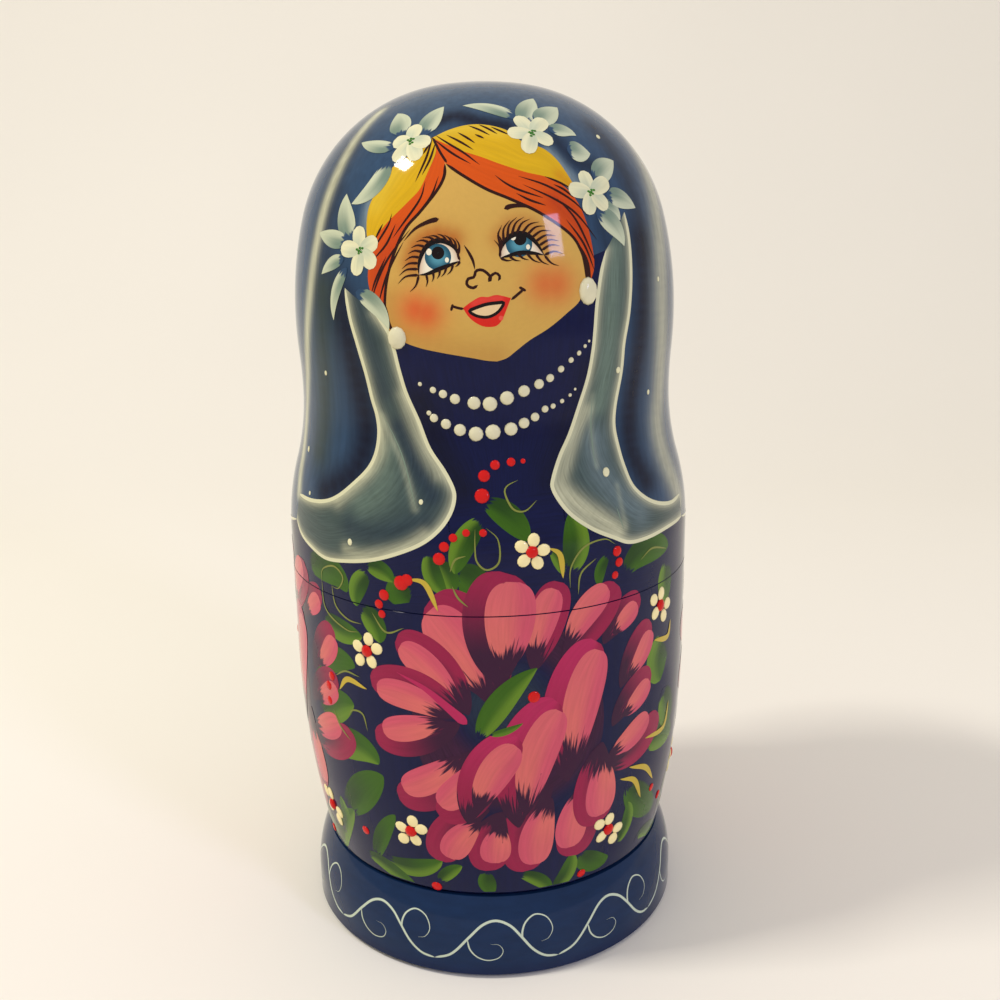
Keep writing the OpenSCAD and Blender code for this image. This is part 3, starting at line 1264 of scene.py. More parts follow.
@dataclass(frozen=True)
class Hair(Motif):
    """The parted hair round the face: a yellow mass, orange locks and dark strokes."""

    stroke_width: float = 2.5
    stroke_reach: float = 1.35

    right_top: Run = (
        (432, 138), (449, 130), (468, 125), (486, 125), (508, 131), (524, 143), (542, 148), (556, 159),
        (569, 177), (576, 190),
    )
    right_break: Run = (
        (432, 138), (450, 146), (462, 151), (481, 157), (500, 164), (525, 172), (549, 178), (568, 188),
        (576, 198),
    )
    right_orange: Run = (
        (432, 138), (462, 151), (481, 157), (500, 164), (525, 172), (549, 178), (568, 190), (580, 207),
        (588, 228), (593, 252), (594, 268), (590, 282),
    )
    right_skin: Run = (
        (434, 142), (446, 164), (462, 175), (486, 189), (510, 199), (540, 213), (570, 234), (581, 251),
        (585, 266), (587, 282),
    )
    left_outer: Run = (
        (432, 138), (423, 147), (406, 158), (390, 170), (382, 184), (371, 202), (367, 218), (367, 238),
        (370, 252),
    )
    left_break: Run = (
        (434, 140), (436, 152), (428, 172), (420, 189), (410, 200), (398, 212), (387, 223), (378, 237),
        (372, 252),
    )
    left_orange: Run = (
        (434, 142), (436, 153), (428, 172), (420, 189), (410, 200), (398, 212), (387, 223), (377, 237),
        (371, 258), (368, 274), (370, 290), (379, 309), (388, 326),
    )
    left_skin: Run = (
        (436, 146), (445, 164), (444, 177), (436, 192), (420, 212), (406, 228), (395, 251), (388, 275),
        (385, 299), (386, 318), (391, 330),
    )
    strokes: tuple[Run, ...] = (
        ((471, 127), (479, 130), (487, 134)), ((481, 126), (488, 129), (495, 133)),
        ((493, 128), (500, 131), (507, 134)), ((460, 134), (467, 138), (473, 142)),
        ((450, 137), (460, 142), (470, 148)), ((476, 135), (483, 138)),
        ((441, 139), (452, 146), (462, 152), (474, 161)), ((439, 143), (452, 153), (466, 161)),
        ((500, 178), (508, 184), (518, 189), (536, 195)), ((520, 195), (530, 200), (542, 204)),
        ((528, 181), (549, 188), (568, 199), (580, 211)), ((533, 191), (557, 202), (573, 213), (588, 232)),
        ((548, 178), (558, 182), (568, 187)), ((556, 186), (564, 190), (571, 196)),
        ((562, 206), (576, 222), (590, 252)), ((570, 226), (583, 244), (591, 264)),
        ((431, 142), (426, 158), (418, 176)), ((434, 147), (430, 159), (424, 171)),
        ((429, 145), (424, 153)), ((422, 188), (417, 203), (398, 230)),
        ((435, 183), (428, 200), (410, 223)), ((390, 218), (387, 227), (376, 245)),
        ((382, 226), (376, 238)), ((393, 229), (386, 244), (376, 256)),
        ((404, 240), (387, 263), (378, 284), (375, 298)), ((400, 250), (388, 274), (381, 298)),
        ((384, 262), (376, 280), (373, 290)),
    )

    glow: tuple[Pass, ...] = (
        (((440, 132), (470, 127), (500, 131)), 2.0, HUE.hair_light, 0.7),
        (((392, 176), (376, 204)), 2.6, HUE.hair_light, 0.6),
        (((560, 176), (573, 190)), 1.8, HUE.orange_dark, 0.3),
    )
    flame: tuple[Pass, ...] = (
        (((556, 200), (580, 226), (591, 262)), 2.8, HUE.orange_dark, 0.9),
        (((400, 236), (380, 270), (382, 310)), 2.8, HUE.orange_dark, 0.8),
    )

    def paint(self) -> None:
        """Paint the masses, then the locks, then the lines and the strokes."""
        glow = airbrush(HUE.hair, sprays(*self.glow))
        flame = airbrush(HUE.orange, sprays(*self.flame))
        for first, second, shade, level in (
            (self.right_top, self.right_break, glow, Layer.FEATURE),
            (self.left_outer, self.left_break, glow, Layer.FEATURE),
            (self.right_orange, self.right_skin, flame, Layer.LOCK),
            (self.left_orange, self.left_skin, flame, Layer.LOCK),
        ):
            self.by.fill(landed(first), landed(second), shade, level, Brush.PETAL)
        for path, width, level, taper in (
            (self.right_skin[1:], 3.2, Layer.LINE, Taper.NONE),
            (self.left_skin[1:], 3.2, Layer.LINE, Taper.NONE),
            (((580, 246), (586, 262), (589, 278), (590, 286)), 6.0, Layer.ACCENT, Taper.BOTH),
            (((386, 306), (388, 322), (394, 332)), 5.0, Layer.ACCENT, Taper.BOTH),
            (((433, 138), (440, 152), (447, 163)), 2.6, Layer.ACCENT, Taper.NONE),
        ):
            self.by.line(path, width, HUE.umber, level, taper)
        for stroke in self.strokes:
            middle = np.mean(stroke, axis=0)
            longer = [tuple(middle + self.stroke_reach * (np.array(spot) - middle)) for spot in stroke]
            self.by.line(longer, self.stroke_width, HUE.umber, Layer.STROKE, upto=6)


@dataclass(frozen=True)
class Wreath(Motif):
    """The wreath of white blossoms and pale leaves in the hair."""

    leaves: tuple[tuple[Pixel, Pixel, float, float], ...] = (
        ((401, 136), (398, 114), 17, 1), ((424, 136), (444, 107), 16, -3), ((396, 147), (362, 143), 11, -2),
        ((389, 160), (352, 204), 15, -6), ((352, 240), (347, 194), 18, -4),
        ((348, 241), (320, 233), 13, -2), ((344, 259), (322, 274), 10, 3), ((347, 268), (334, 320), 10, 5),
        ((356, 292), (389, 330), 13, -6), ((524, 124), (533, 99), 16, -2), ((538, 125), (557, 108), 17, -2),
        ((549, 131), (576, 136), 13, -3), ((517, 119), (463, 106), 12, 4), ((567, 150), (590, 154), 18, 0),
        ((595, 181), (613, 161), 17, -2), ((606, 196), (635, 208), 15, -3),
        ((603, 204), (620, 220), 13, -2), ((596, 212), (624, 246), 16, -5),
    )
    blossoms: tuple[tuple[Pixel, Run], ...] = (
        ((411, 141), ((414, 132), (401, 142), (399, 156), (415, 153), (423, 142))),
        ((532, 133), ((522, 122), (515, 133), (539, 125), (546, 140), (529, 146))),
        ((591, 192), ((585, 178), (576, 190), (589, 207), (602, 203), (601, 185))),
        ((360, 250), ((359, 234), (371, 244), (370, 261), (357, 268), (349, 249))),
    )
    petal_reach: float = 7.6
    petal_width: float = 17.0
    leaf_fullness: float = 1.4
    earrings: tuple[tuple[Pixel, Pixel], ...] = (((397, 338), (11.5, 10.4)), ((588, 291), (14.0, 10.8)))

    stamens: int = 7
    stamen_turn: float = 2.4
    stamen_gap: float = 1.4
    stamen_radii: Pixel = (1.7, 1.3)

    def paint(self) -> None:
        """Paint the leaves, the blossoms and the pearl earrings."""
        pale = HUE.leaf_pale
        load = Load(HUE.leaf_grey, side=pale, tip=pale, under=HUE.slate, dry=0.3)
        white = Load(pale, side=HUE.cream, tip=HUE.cream)
        for number, (root, tip, width, bend) in enumerate(self.leaves):
            wide = width * self.leaf_fullness
            self.by.petal(root, tip, wide, load, Layer.WREATH + number % 4, bend, (0.6, 0.9), upto=8)
        for middle, petals in self.blossoms:
            for number, petal in enumerate(petals):
                way = np.array(petal, float) - middle
                tip = tuple(petal + way / float(np.hypot(*way)) * self.petal_reach)
                self.by.petal(middle, tip, self.petal_width, white, Layer.BLOSSOM + number, 0.0, (0.5, 0.36))
            for number in range(self.stamens):
                turn = self.stamen_turn * number
                reach = self.stamen_gap * math.sqrt(number)
                spot = (middle[0] + reach * math.cos(turn), middle[1] + reach * math.sin(turn))
                self.by.dab(spot, self.stamen_radii, HUE.stamen, height=0.9, upto=4)
        for middle, radii in self.earrings:
            self.by.dab(middle, radii, HUE.pearl, (middle[0], middle[1] + 6), 0.45)


@dataclass(frozen=True)
class Necklace(Motif):
    """Two rows of pearls, graded from the middle to the ends, each with its pixel and radius."""

    rows: tuple[tuple[tuple[float, float, float], ...], ...] = (
        (
            (420, 384, 2.2), (433, 390, 3.4), (443, 394, 4.4), (455, 399, 5.3), (474, 403, 6.7),
            (490, 404, 7.5), (507, 398, 7.2), (524, 391, 6.1), (539, 384, 5.2), (550, 378, 4.3),
            (561, 369, 3.6), (571, 360, 3.0), (579, 353, 2.6), (585, 346, 2.0), (589, 341, 1.5),
        ),
        (
            (429, 413, 2.6), (434, 418, 4.4), (446, 424, 5.3), (460, 430, 6.2), (476, 434, 7.5),
            (493, 432, 7.8), (511, 429, 6.8), (524, 423, 5.6), (535, 417, 4.6), (545, 409, 3.7),
            (553, 406, 2.8), (562, 401, 2.4), (570, 395, 1.9), (575, 389, 1.5),
        ),
    )

    small_pearl: float = 3.0

    def paint(self) -> None:
        """Set the pearls."""
        for x, y, radius in (pearl for row in self.rows for pearl in row):
            upto = 10 if radius > self.small_pearl else 6
            self.by.dab((x, y), (radius, radius), HUE.pearl, height=0.4, upto=upto)


@dataclass(frozen=True)
class Peony(Motif):
    """A full-blown peony: dark petals pressed first, pink ones over them, dry towards the heart."""

    outer: tuple[tuple[Pixel, Pixel, float, float, float], ...] = (
        ((613, 634), (637, 604), 22, 0, -4), ((628, 676), (650, 630), 23, 3, -6),
        ((622, 716), (649, 680), 23, 2, -6), ((608, 756), (648, 714), 28, 3, 7),
        ((536, 658), (555, 589), 30, -3, 3), ((568, 648), (608, 588), 31, -5, 8),
        ((506, 672), (513, 582), 50, 0, -10), ((486, 698), (429, 611), 50, 5, 9),
        ((458, 706), (400, 646), 31, 4, 5), ((450, 718), (377, 688), 29, 4, 7),
        ((446, 722), (383, 729), 28, -2, -8), ((458, 756), (403, 787), 31, -6, -8),
        ((478, 760), (440, 805), 31, -5, -9), ((603, 756), (600, 815), 36, 0, 5),
        ((586, 784), (570, 847), 34, 4, -6), ((552, 798), (535, 864), 35, 5, 9),
        ((502, 826), (495, 863), 30, 2, 5), ((482, 822), (450, 858), 30, 5, 8),
    )
    inner: tuple[tuple[Pixel, Pixel, float, float, float], ...] = (
        ((573, 768), (599, 650), 42, -5, -8), ((526, 815), (560, 711), 39, -7, -10),
        ((477, 812), (517, 747), 34, -5, -6),
    )
    fullness: float = 1.04
    strip: Run = ((397, 672), (424, 688), (446, 706), (467, 724))
    middle: Pixel = (508, 716)
    heart: Pixel = (506, 706)
    wash_radii: Pixel = (96, 104)
    core_r: float = 2.0
    under_fullness: float = 1.4
    under_back: float = 14.0
    under_out: float = 8.0

    def paint(self) -> None:
        """Paint the whole flower round its navy heart."""
        pink = Load(HUE.pink, side=HUE.pink_deep, tip=HUE.pink_light, under=HUE.wine, dry=0.42)
        dark = Load(HUE.wine, side=HUE.crimson, tip=HUE.crimson, under=HUE.wine, dry=0.5)
        rose = Load(HUE.crimson, side=HUE.crimson, tip=HUE.rose, under=HUE.wine, dry=0.4)
        self.paint_wash()
        rows = [(petal, dark, Layer.PETAL + 2 * (number % 7)) for number, petal in enumerate(self.outer)]
        rows += [(petal, rose, Layer.TOP_PETAL + 2 * number) for number, petal in enumerate(self.inner)]
        for (root, tip, width, bend, lean), under, level in rows:
            way = np.subtract(tip, root) / math.dist(tip, root)
            aside = np.array((-way[1], way[0])) * lean
            back = tuple(root - way * self.under_back + 0.3 * aside)
            out = tuple(tip + way * self.under_out + 0.6 * aside)
            swing = bend * 1.2 + 0.9 * lean
            self.by.petal(back, out, width * self.under_fullness, under, level, swing, (0.7, 0.38))
            self.by.petal(root, tip, width * self.fullness, pink, level + 1, bend, (0.68, 0.36))
        self.by.line(self.strip, 11.0, HUE.rose, Layer.GLINT, Taper.START, upto=6)
        self.paint_heart()

    def ring(self, middle: Pixel, radii: Pixel) -> Array:
        """Points of the surface on an oval round a pixel.

        Args:
            middle: The pixel.
            radii: Half the oval's width and height in pixels.

        Returns:
            The points.
        """
        turns = np.linspace(0.0, FULL_TURN, 40)
        spots = np.column_stack([middle[0] + radii[0] * np.cos(turns), middle[1] + radii[1] * np.sin(turns)])
        return self.by.on(*map(tuple, spots.tolist()))

    def paint_wash(self) -> None:
        """Lay a thin wine-red wash under the petals, navy at the heart."""
        middle = self.by.on(self.heart)[0]

        def shade(points: Array) -> Array:
            """Navy at the heart and at the rim, wine between them.

            Args:
                points: The points.

            Returns:
                Their colours.
            """
            gap = np.linalg.norm(points - middle, axis=-1)
            share = ease(11.0, 17.0, gap) * ease(31.0, 25.0, gap)
            navy = np.broadcast_to(np.array(HUE.navy), points.shape)
            return blend(blend(navy, HUE.dark_slate, ease(13.0, 6.0, gap)), HUE.wine, 0.95 * share)

        core = self.ring(self.heart, (self.core_r, self.core_r))
        self.by.fill(core, self.ring(self.middle, self.wash_radii), shade, Layer.GROUND)

    def paint_heart(self) -> None:
        """Paint the two leaves and the red drop in the heart."""
        leaf = Load(HUE.green, side=HUE.green_light, tip=HUE.green, dry=0.12)
        self.by.petal((479, 739), (537, 668), 27, leaf, Layer.HEART, -6, (0.6, 0.8))
        self.by.petal((490, 735), (523, 723), 8, leaf, Layer.HEART + 1, 2, (0.6, 0.9), upto=6)
        self.by.dab((534, 697), (6.4, 6.4), HUE.berry)


@dataclass(frozen=True)
class Greenery:
    """Leaves, tendrils, berries and daisies of one part of the bouquet."""

    leaves: tuple[tuple[Pixel, Pixel, float, float], ...] = ()
    tendrils: tuple[Run, ...] = ()
    crescents: tuple[Run, ...] = ()
    berries: tuple[tuple[float, float, float], ...] = ()
    daisies: tuple[tuple[Pixel, Pixel], ...] = ()
    fullness: float = 1.25
    tendril_width: float = 2.0
    crescent_width: float = 6.0
    small_berry: float = 4.4
    daisy_spread: float = 0.86
    daisy_start: float = -82.0
    daisy_petal: Pixel = (7.4, 6.4)
    daisy_heart: Pixel = (6.6, 6.6)

    def paint(self, by: Painter) -> None:
        """Paint the leaves first, then the lines, the berries and the daisies.

        Args:
            by: The painter of the doll.
        """
        for number, (root, tip, width, bend) in enumerate(self.leaves):
            light = HUE.green_light if number % 3 else HUE.green
            load = Load(HUE.green_dark, side=light, tip=HUE.green, dry=0.22)
            level = Layer.LEAF + number % 3
            by.petal(root, tip, width * self.fullness, load, level, bend, (0.6, 0.62), upto=9)
        for path in self.tendrils:
            by.line(path, self.tendril_width, HUE.tendril, Layer.TENDRIL, upto=5)
        for path in self.crescents:
            by.line(path, self.crescent_width, HUE.mustard, Layer.TENDRIL, upto=7)
        for x, y, radius in self.berries:
            by.dab((x, y), (radius, radius), HUE.berry, upto=10 if radius > self.small_berry else 6)
        for middle, radii in self.daisies:
            wide, high = self.daisy_spread * radii[0], self.daisy_spread * radii[1]
            for number in range(5):
                turn = math.radians(72.0 * number + self.daisy_start)
                petal = (middle[0] + wide * math.cos(turn), middle[1] + high * math.sin(turn))
                by.dab(petal, self.daisy_petal, HUE.daisy, middle, 0.22)
            by.dab(middle, self.daisy_heart, HUE.berry, height=0.5)


@dataclass(frozen=True)
class Bouquet(Motif):
    """The flowers on the dress: a peony amid greenery in front, and the like all round."""

    left_turn: float = -95.0
    right_turn: float = 105.0

    top: Greenery = Greenery(
        leaves=(
            ((482, 502), (528, 541), 21, -6), ((568, 574), (569, 514), 24, 8),
            ((484, 518), (455, 574), 20, 6), ((455, 573), (478, 601), 27, -8),
            ((437, 562), (453, 592), 17, -3), ((430, 552), (446, 594), 16, 6),
            ((609, 555), (600, 586), 11, 4), ((550, 550), (562, 574), 12, -4),
        ),
        tendrils=(
            ((475, 529), (475, 548), (477, 562), (487, 570), (499, 562), (498, 540), (486, 528)),
            ((518, 480), (507, 486), (505, 494), (513, 509), (525, 511), (537, 500)),
            ((570, 588), (571, 567), (584, 547), (604, 539), (615, 544)),
            ((578, 594), (581, 573), (596, 558)), ((452, 586), (458, 598), (468, 607)),
            ((450, 572), (455, 560), (466, 556)),
        ),
        crescents=(((549, 548), (560, 555), (563, 578)), ((408, 579), (425, 584), (438, 611))),
        berries=(
            (482, 496, 7.6), (484, 476, 6.1), (495, 465, 5.0), (511, 462, 4.5), (523, 461, 2.6),
            (439, 559, 6.5), (444, 547, 5.3), (453, 538, 4.5), (466, 533, 4.0), (483, 533, 4.0),
        ),
        daisies=(((532, 552), (13.5, 14.0)),),
    )
    left: Greenery = Greenery(
        leaves=(
            ((308, 563), (347, 592), 26, -8), ((365, 566), (393, 582), 16, -4),
            ((369, 572), (357, 606), 18, 6), ((413, 587), (394, 604), 24, 6),
            ((359, 608), (380, 643), 21, -5), ((322, 613), (362, 637), 21, 5),
            ((312, 668), (355, 667), 25, -9), ((321, 713), (354, 705), 30, -4),
            ((329, 742), (379, 764), 29, -8), ((349, 811), (383, 776), 30, -4),
            ((344, 842), (354, 810), 19, -4),
        ),
        tendrils=(
            ((322, 581), (323, 569), (334, 566), (343, 577), (339, 588), (332, 586)),
            ((322, 578), (326, 608), (346, 629), (359, 632)),
            ((332, 584), (336, 605), (348, 619), (362, 624)),
            ((349, 716), (353, 710), (363, 714), (368, 731)), ((334, 709), (341, 726), (351, 740)),
            ((336, 675), (346, 671), (360, 677)), ((372, 612), (386, 632), (404, 628)),
        ),
        crescents=(((340, 689), (348, 679), (367, 689)),),
        berries=(
            (401, 583, 8.0), (407, 580, 6.4), (384, 595, 6.0), (379, 604, 5.0), (382, 614, 4.4),
            (332, 676, 5.0), (329, 685, 5.0), (330, 700, 4.5),
        ),
        daisies=(((367, 651), (11.5, 14.0)),),
    )
    right: Greenery = Greenery(
        leaves=(
            ((625, 577), (668, 545), 26, -10), ((664, 636), (660, 680), 34, 4),
            ((644, 752), (670, 730), 26, -4), ((628, 781), (652, 806), 28, 5),
            ((667, 560), (667, 600), 24, 2), ((662, 690), (664, 730), 28, -3),
        ),
        tendrils=(((640, 560), (652, 548), (666, 548)), ((656, 812), (652, 822), (660, 828))),
        crescents=(
            ((620, 779), (634, 780), (640, 797)), ((629, 767), (645, 767), (652, 778)),
            ((654, 640), (667, 636), (670, 619)), ((645, 738), (663, 726), (668, 700)),
        ),
        berries=((617, 551, 5.6), (619, 562, 5.0), (615, 575, 4.2), (651, 787, 4.4)),
        daisies=(((660, 605), (8.0, 13.5)),),
    )
    low: Greenery = Greenery(
        fullness=1.0,
        leaves=(
            ((377, 858), (395, 815), 19, -4), ((385, 856), (442, 861), 23, 9),
            ((439, 882), (462, 866), 15, -2), ((487, 871), (493, 893), 18, 3),
            ((518, 875), (551, 889), 16, -4), ((552, 889), (572, 853), 19, 5),
            ((578, 853), (608, 856), 25, 7), ((614, 845), (628, 802), 18, 5),
            ((634, 842), (654, 825), 18, -3),
        ),
        berries=((366, 830, 5.0), (437, 886, 5.6), (581, 873, 5.0)),
        daisies=(((411, 831), (12.0, 11.5)), ((608, 829), (11.0, 12.0))),
    )

    def paint(self) -> None:
        """Paint the front, then the sides and the back with the same motifs turned."""
        self.top.paint(self.by)
        for turn, parts, flower in (
            (0.0, (self.left, self.right, self.low), True),
            (self.left_turn, (self.left, self.low), True),
            (self.right_turn, (self.right, self.low), True),
            (180.0, (self.low,), False),
        ):
            self.by.turn = turn
            for part in parts:
                part.paint(self.by)
            if flower:
                Peony(self.by).paint()
        self.by.turn = 0.0


class NodeBuilder:
    """Adds nodes to a tree and joins them."""

    def __init__(self, tree: NodeTree) -> None:
        """Take a tree to add nodes to."""
        self.tree = tree

    def add(self, kind: str, inputs: Optional[dict] = None, **settings: object) -> Node:
        """Add a node.

        Args:
            kind: Its type.
            inputs: What goes into it, as feed takes it.
            **settings: Its own properties.

        Returns:
            The node.
        """
        node = self.tree.nodes.new(kind)
        for name, value in settings.items():
            setattr(node, name, value)
        self.feed(node, inputs or {})
        return node

    def feed(self, node: Node, inputs: dict) -> None:
        """Set a node's inputs.

        Args:
            node: The node.
            inputs: Values, sockets, or nodes whose first output is meant, by name or number.
        """
        for name, value in inputs.items():
            if isinstance(value, Node):
                value = value.outputs[0]
            if isinstance(value, NodeSocket):
                self.tree.links.new(value, node.inputs[name])
            else:
                node.inputs[name].default_value = value

    def math(self, operation: str, first: object, second: object = 0.0) -> Node:
        """Add a sum of two values."""
        return self.add("ShaderNodeMath", {0: first, 1: second}, operation=operation)


def new_material(name: str) -> tuple[Material, NodeBuilder, Node]:
    """Start a material.

    Args:
        name: Its name.

    Returns:
        The material, a builder for its nodes, and its shader.
    """
    made = bpy.data.materials.new(name)
    made.use_nodes = True
    return made, NodeBuilder(made.node_tree), made.node_tree.nodes["Principled BSDF"]


@dataclass(frozen=True)
class Lacquer:
    """Paint under clear gloss lacquer, coloured by the attributes of the mesh."""

    name: str
    grain: tuple[float, float, float]
    streak: float
    rough: float
    brushed: bool
    coat: float = 1.0
    coat_rough: float = 0.06
    coat_ior: float = 1.28
    ripple: float = 0.05
    ripples_per_m: float = 140.0
    ripple_depth: float = 0.0006
    dry_marks: float = 3.4
    dry_reach: float = 1.7
    dry_edge: float = 2.4

    @cached_property
    def material(self) -> Material:
        """Paint under a faintly rippled coat.

        Returns:
            The material.
        """
        made, nodes, shader = new_material(self.name)
        place = nodes.add("ShaderNodeTexCoord").outputs["Object"]
        waves = nodes.add("ShaderNodeTexNoise", {"Vector": place, "Scale": self.ripples_per_m, "Detail": 1.0})
        height = {"Height": waves, "Strength": self.ripple, "Distance": self.ripple_depth}
        bump = nodes.add("ShaderNodeBump", height)
        nodes.feed(shader, {
            "Base Color": self._tone(nodes), "Normal": bump, "Coat Normal": bump, "Roughness": self.rough,
            "Specular IOR Level": 0.0, "Coat Weight": self.coat, "Coat IOR": self.coat_ior,
            "Coat Roughness": self.coat_rough,
        })
        return made

    def _tone(self, nodes: NodeBuilder) -> NodeSocket:
        """Colour of the paint with bristle marks, and the ground showing where the brush ran dry.

        Args:
            nodes: Builder for the material's nodes.

        Returns:
            The socket that gives the colour.
        """
        paint = nodes.add("ShaderNodeAttribute", attribute_name="paint")
        if self.brushed:
            run = nodes.add("ShaderNodeAttribute", attribute_name="brush").outputs["Vector"]
        else:
            run = nodes.add("ShaderNodeTexCoord").outputs["Object"]
        spread = nodes.add("ShaderNodeMapping", {"Vector": run, "Scale": self.grain})
        marks = nodes.add("ShaderNodeTexNoise", {"Vector": spread, "Scale": 1.0, "Detail": 3.0})
        swing = nodes.math("SUBTRACT", marks, 0.5)
        value = nodes.math("ADD", nodes.math("MULTIPLY", swing, self.streak), 1.0)
        toned = nodes.add("ShaderNodeHueSaturation", {"Color": paint, "Value": value})
        if not self.brushed:
            return toned.outputs[0]
        under = nodes.add("ShaderNodeAttribute", attribute_name="under")
        fade = nodes.add("ShaderNodeSeparateXYZ", {"Vector": run}).outputs["Z"]
        start = nodes.math("MULTIPLY", swing, self.dry_marks)
        reach = nodes.math("ADD", nodes.math("MULTIPLY", fade, self.dry_reach), start)
        share = nodes.math("MULTIPLY", nodes.math("SUBTRACT", reach, 0.5), self.dry_edge)
        dry = nodes.math("GREATER_THAN", fade, 0.001)
        bare = nodes.add("ShaderNodeClamp", {"Value": nodes.math("MULTIPLY", share, dry)})
        return nodes.add("ShaderNodeMix", {0: bare, 6: toned, 7: under}, data_type="RGBA").outputs[2]


@dataclass(frozen=True)
class Limewood:
    """Bare turned limewood: pale, with fine grain along the axis and faint tool rings."""

    name: str = "bare_limewood"
    rough: float = 0.55
    grain: tuple[float, float, float] = (900.0, 900.0, 45.0)
    rings_per_m: float = 900.0
    clouds_per_m: float = 60.0
    ring_share: float = 0.4
    bump: float = 0.25
    bump_depth: float = 0.0002

    @cached_property
    def material(self) -> Material:
        """Pale wood with grain, clouds and tool rings.

        Returns:
            The material.
        """
        made, nodes, shader = new_material(self.name)
        place = nodes.add("ShaderNodeTexCoord").outputs["Object"]
        spread = nodes.add("ShaderNodeMapping", {"Vector": place, "Scale": self.grain})
        grain = nodes.add("ShaderNodeTexNoise", {"Vector": spread, "Scale": 1.0, "Detail": 4.0})
        cloud = nodes.add("ShaderNodeTexNoise", {"Vector": place, "Scale": self.clouds_per_m, "Detail": 2.0})
        level = nodes.add("ShaderNodeSeparateXYZ", {"Vector": place}).outputs["Z"]
        rings = nodes.math("SINE", nodes.math("MULTIPLY", level, self.rings_per_m * FULL_TURN))
        share = nodes.math("ADD", nodes.math("MULTIPLY", grain, 0.7), nodes.math("MULTIPLY", cloud, 0.3))
        ramp = nodes.add("ShaderNodeValToRGB", {"Fac": share})
        dark, pale = ramp.color_ramp.elements
        dark.position, pale.position = 0.3, 0.62
        dark.color, pale.color = (*HUE.limewood_dark, 1.0), (*HUE.limewood, 1.0)
        height = nodes.math("ADD", nodes.math("MULTIPLY", rings, self.ring_share), grain)
        rough = {"Height": height, "Strength": self.bump, "Distance": self.bump_depth}
        bump = nodes.add("ShaderNodeBump", rough)
        nodes.feed(shader, {"Base Color": ramp, "Normal": bump, "Roughness": self.rough})
        return made


GROUND = Lacquer("lacquered_ground", (700.0, 700.0, 40.0), 0.6, 0.4, False)
PLINTH_GROUND = Lacquer("lacquered_plinth", (160.0, 160.0, 500.0), 0.5, 0.4, False)
DROPS = Lacquer("thick_paint_drops", (600.0, 600.0, 600.0), 0.16, 0.42, False)
BRUSHWORK: dict[Brush, Lacquer] = {
    Brush.WASH: Lacquer("brushed_wash", (1.5, 0.12, 0.0), 0.95, 0.42, True),
    Brush.SKIN: Lacquer("painted_skin", (0.5, 0.5, 0.0), 0.1, 0.42, True),
    Brush.PETAL: Lacquer("brushed_petals", (1.15, 0.1, 0.0), 0.34, 0.42, True),
    Brush.LINER: Lacquer("liner_strokes", (1.2, 0.3, 0.0), 0.14, 0.42, True),
}
WOOD = Limewood()


